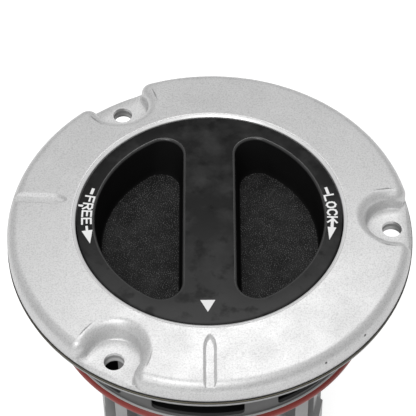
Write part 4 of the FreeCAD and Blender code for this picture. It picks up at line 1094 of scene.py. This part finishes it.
@dataclass
class Studio:
    """The floor, the light and the camera."""

    aim_height: float = 10.4
    distance: float = 515.4
    elevation: float = 50.675
    turn: float = 0.7
    roll: float = -1.158
    focal_px: float = 1875.85
    frame_px: float = 416.0
    centre_px: Flat = (209.348, 215.224)
    sensor: float = 36.0
    floor_level: float = -94.6
    floor_half: float = 4000.0
    floor_shade: float = 0.55
    floor_glow: float = 0.75
    sky_shade: float = 0.34
    lamps: tuple[tuple[str, Point, float, float], ...] = (
        ("overhead", (40, 330, 850), 500, 2.6),
        ("key", (-150, -520, 850), 450, 3.6),
        ("front", (-400, -900, 450), 400, 1.2),
    )

    def camera(self) -> None:
        """Sets the camera where the photograph was taken from."""
        lift, tilt = math.radians(self.elevation), math.radians(self.roll)
        place = Vector((0, -math.cos(lift) * self.distance, math.sin(lift) * self.distance))
        ahead = -place.normalized()
        right = Vector((1, 0, 0))
        up = right.cross(ahead)
        side = right * math.cos(tilt) + up * math.sin(tilt)
        head = -right * math.sin(tilt) + up * math.cos(tilt)
        spin = Matrix.Rotation(math.radians(self.turn), 3, "Z")
        axes = Matrix((spin @ side, spin @ head, -(spin @ ahead))).transposed()
        data = bpy.data.cameras.new("Camera")
        data.sensor_width = self.sensor
        data.lens = self.focal_px / self.frame_px * self.sensor
        data.shift_x = (self.frame_px / 2 - self.centre_px[0]) / self.frame_px
        data.shift_y = (self.centre_px[1] - self.frame_px / 2) / self.frame_px
        data.clip_start = 0.01
        camera = bpy.data.objects.new("Camera", data)
        bpy.context.scene.collection.objects.link(camera)
        spot = spin @ place + Vector((0, 0, self.aim_height))
        camera.matrix_world = Matrix.Translation(spot * MM) @ axes.to_4x4()
        bpy.context.scene.camera = camera

    def floor(self) -> None:
        """Lays a wide pale floor that shows white and keeps the shadow."""
        half = self.floor_half
        corners = [(x, y, self.floor_level)
                   for x, y in ((-half, -half), (half, -half), (half, half), (-half, half))]
        floor = new_object("floor", corners, [(0, 1, 2, 3)])
        nodes = Nodes("floor_white")
        path = nodes.add("ShaderNodeLightPath").outputs
        seen = nodes.compute("MAXIMUM", path["Is Camera Ray"], path["Is Glossy Ray"])
        seen = nodes.compute("MAXIMUM", seen, path["Is Transmission Ray"])
        nodes.set(Base_Color=(*[self.floor_shade] * 3, 1.0), Roughness=0.9, Specular_IOR_Level=0.0,
                  Emission_Color=(1.0, 1.0, 1.0, 1.0),
                  Emission_Strength=nodes.compute("MULTIPLY", seen, self.floor_glow))
        floor.data.materials.append(nodes.material)

    def sky(self) -> None:
        """Sets an even pale surround, white where the camera sees it."""
        world = bpy.data.worlds.new("Surround")
        bpy.context.scene.world = world
        world.use_nodes = True
        tree = world.node_tree
        back = tree.nodes["Background"]
        path = tree.nodes.new("ShaderNodeLightPath")
        mix = tree.nodes.new("ShaderNodeMix")
        mix.data_type = "RGBA"
        mix.inputs[6].default_value = (*[self.sky_shade] * 3, 1.0)
        mix.inputs[7].default_value = (1.0, 1.0, 1.0, 1.0)
        tree.links.new(path.outputs["Is Camera Ray"], mix.inputs[0])
        tree.links.new(mix.outputs[2], back.inputs["Color"])
        back.inputs["Strength"].default_value = 1.0

    def lamp(self, name: str, place: Point, size: float, power: float) -> None:
        """Adds a square soft light, aimed at the hub."""
        data = bpy.data.lights.new(name, "AREA")
        data.shape = "SQUARE"
        data.size = size * MM
        data.energy = power
        lamp = bpy.data.objects.new(name, data)
        lamp.location = [c * MM for c in place]
        lamp.rotation_euler = (-lamp.location).to_track_quat("-Z", "Y").to_euler()
        bpy.context.scene.collection.objects.link(lamp)

    def build(self) -> None:
        """Sets up the whole studio."""
        bpy.context.scene.view_settings.view_transform = "Standard"
        self.camera()
        self.floor()
        self.sky()
        for lamp in self.lamps:
            self.lamp(*lamp)


def main() -> None:
    """Builds the studio, then the hub piece by piece."""
    logging.basicConfig(level=logging.INFO, format="%(message)s")
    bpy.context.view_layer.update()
    Studio().build()
    CarriedPieces().build()
    RubberRings().build()
    CastCover().build()
    FingerDial().build()


if __name__ == "__main__":
    main()
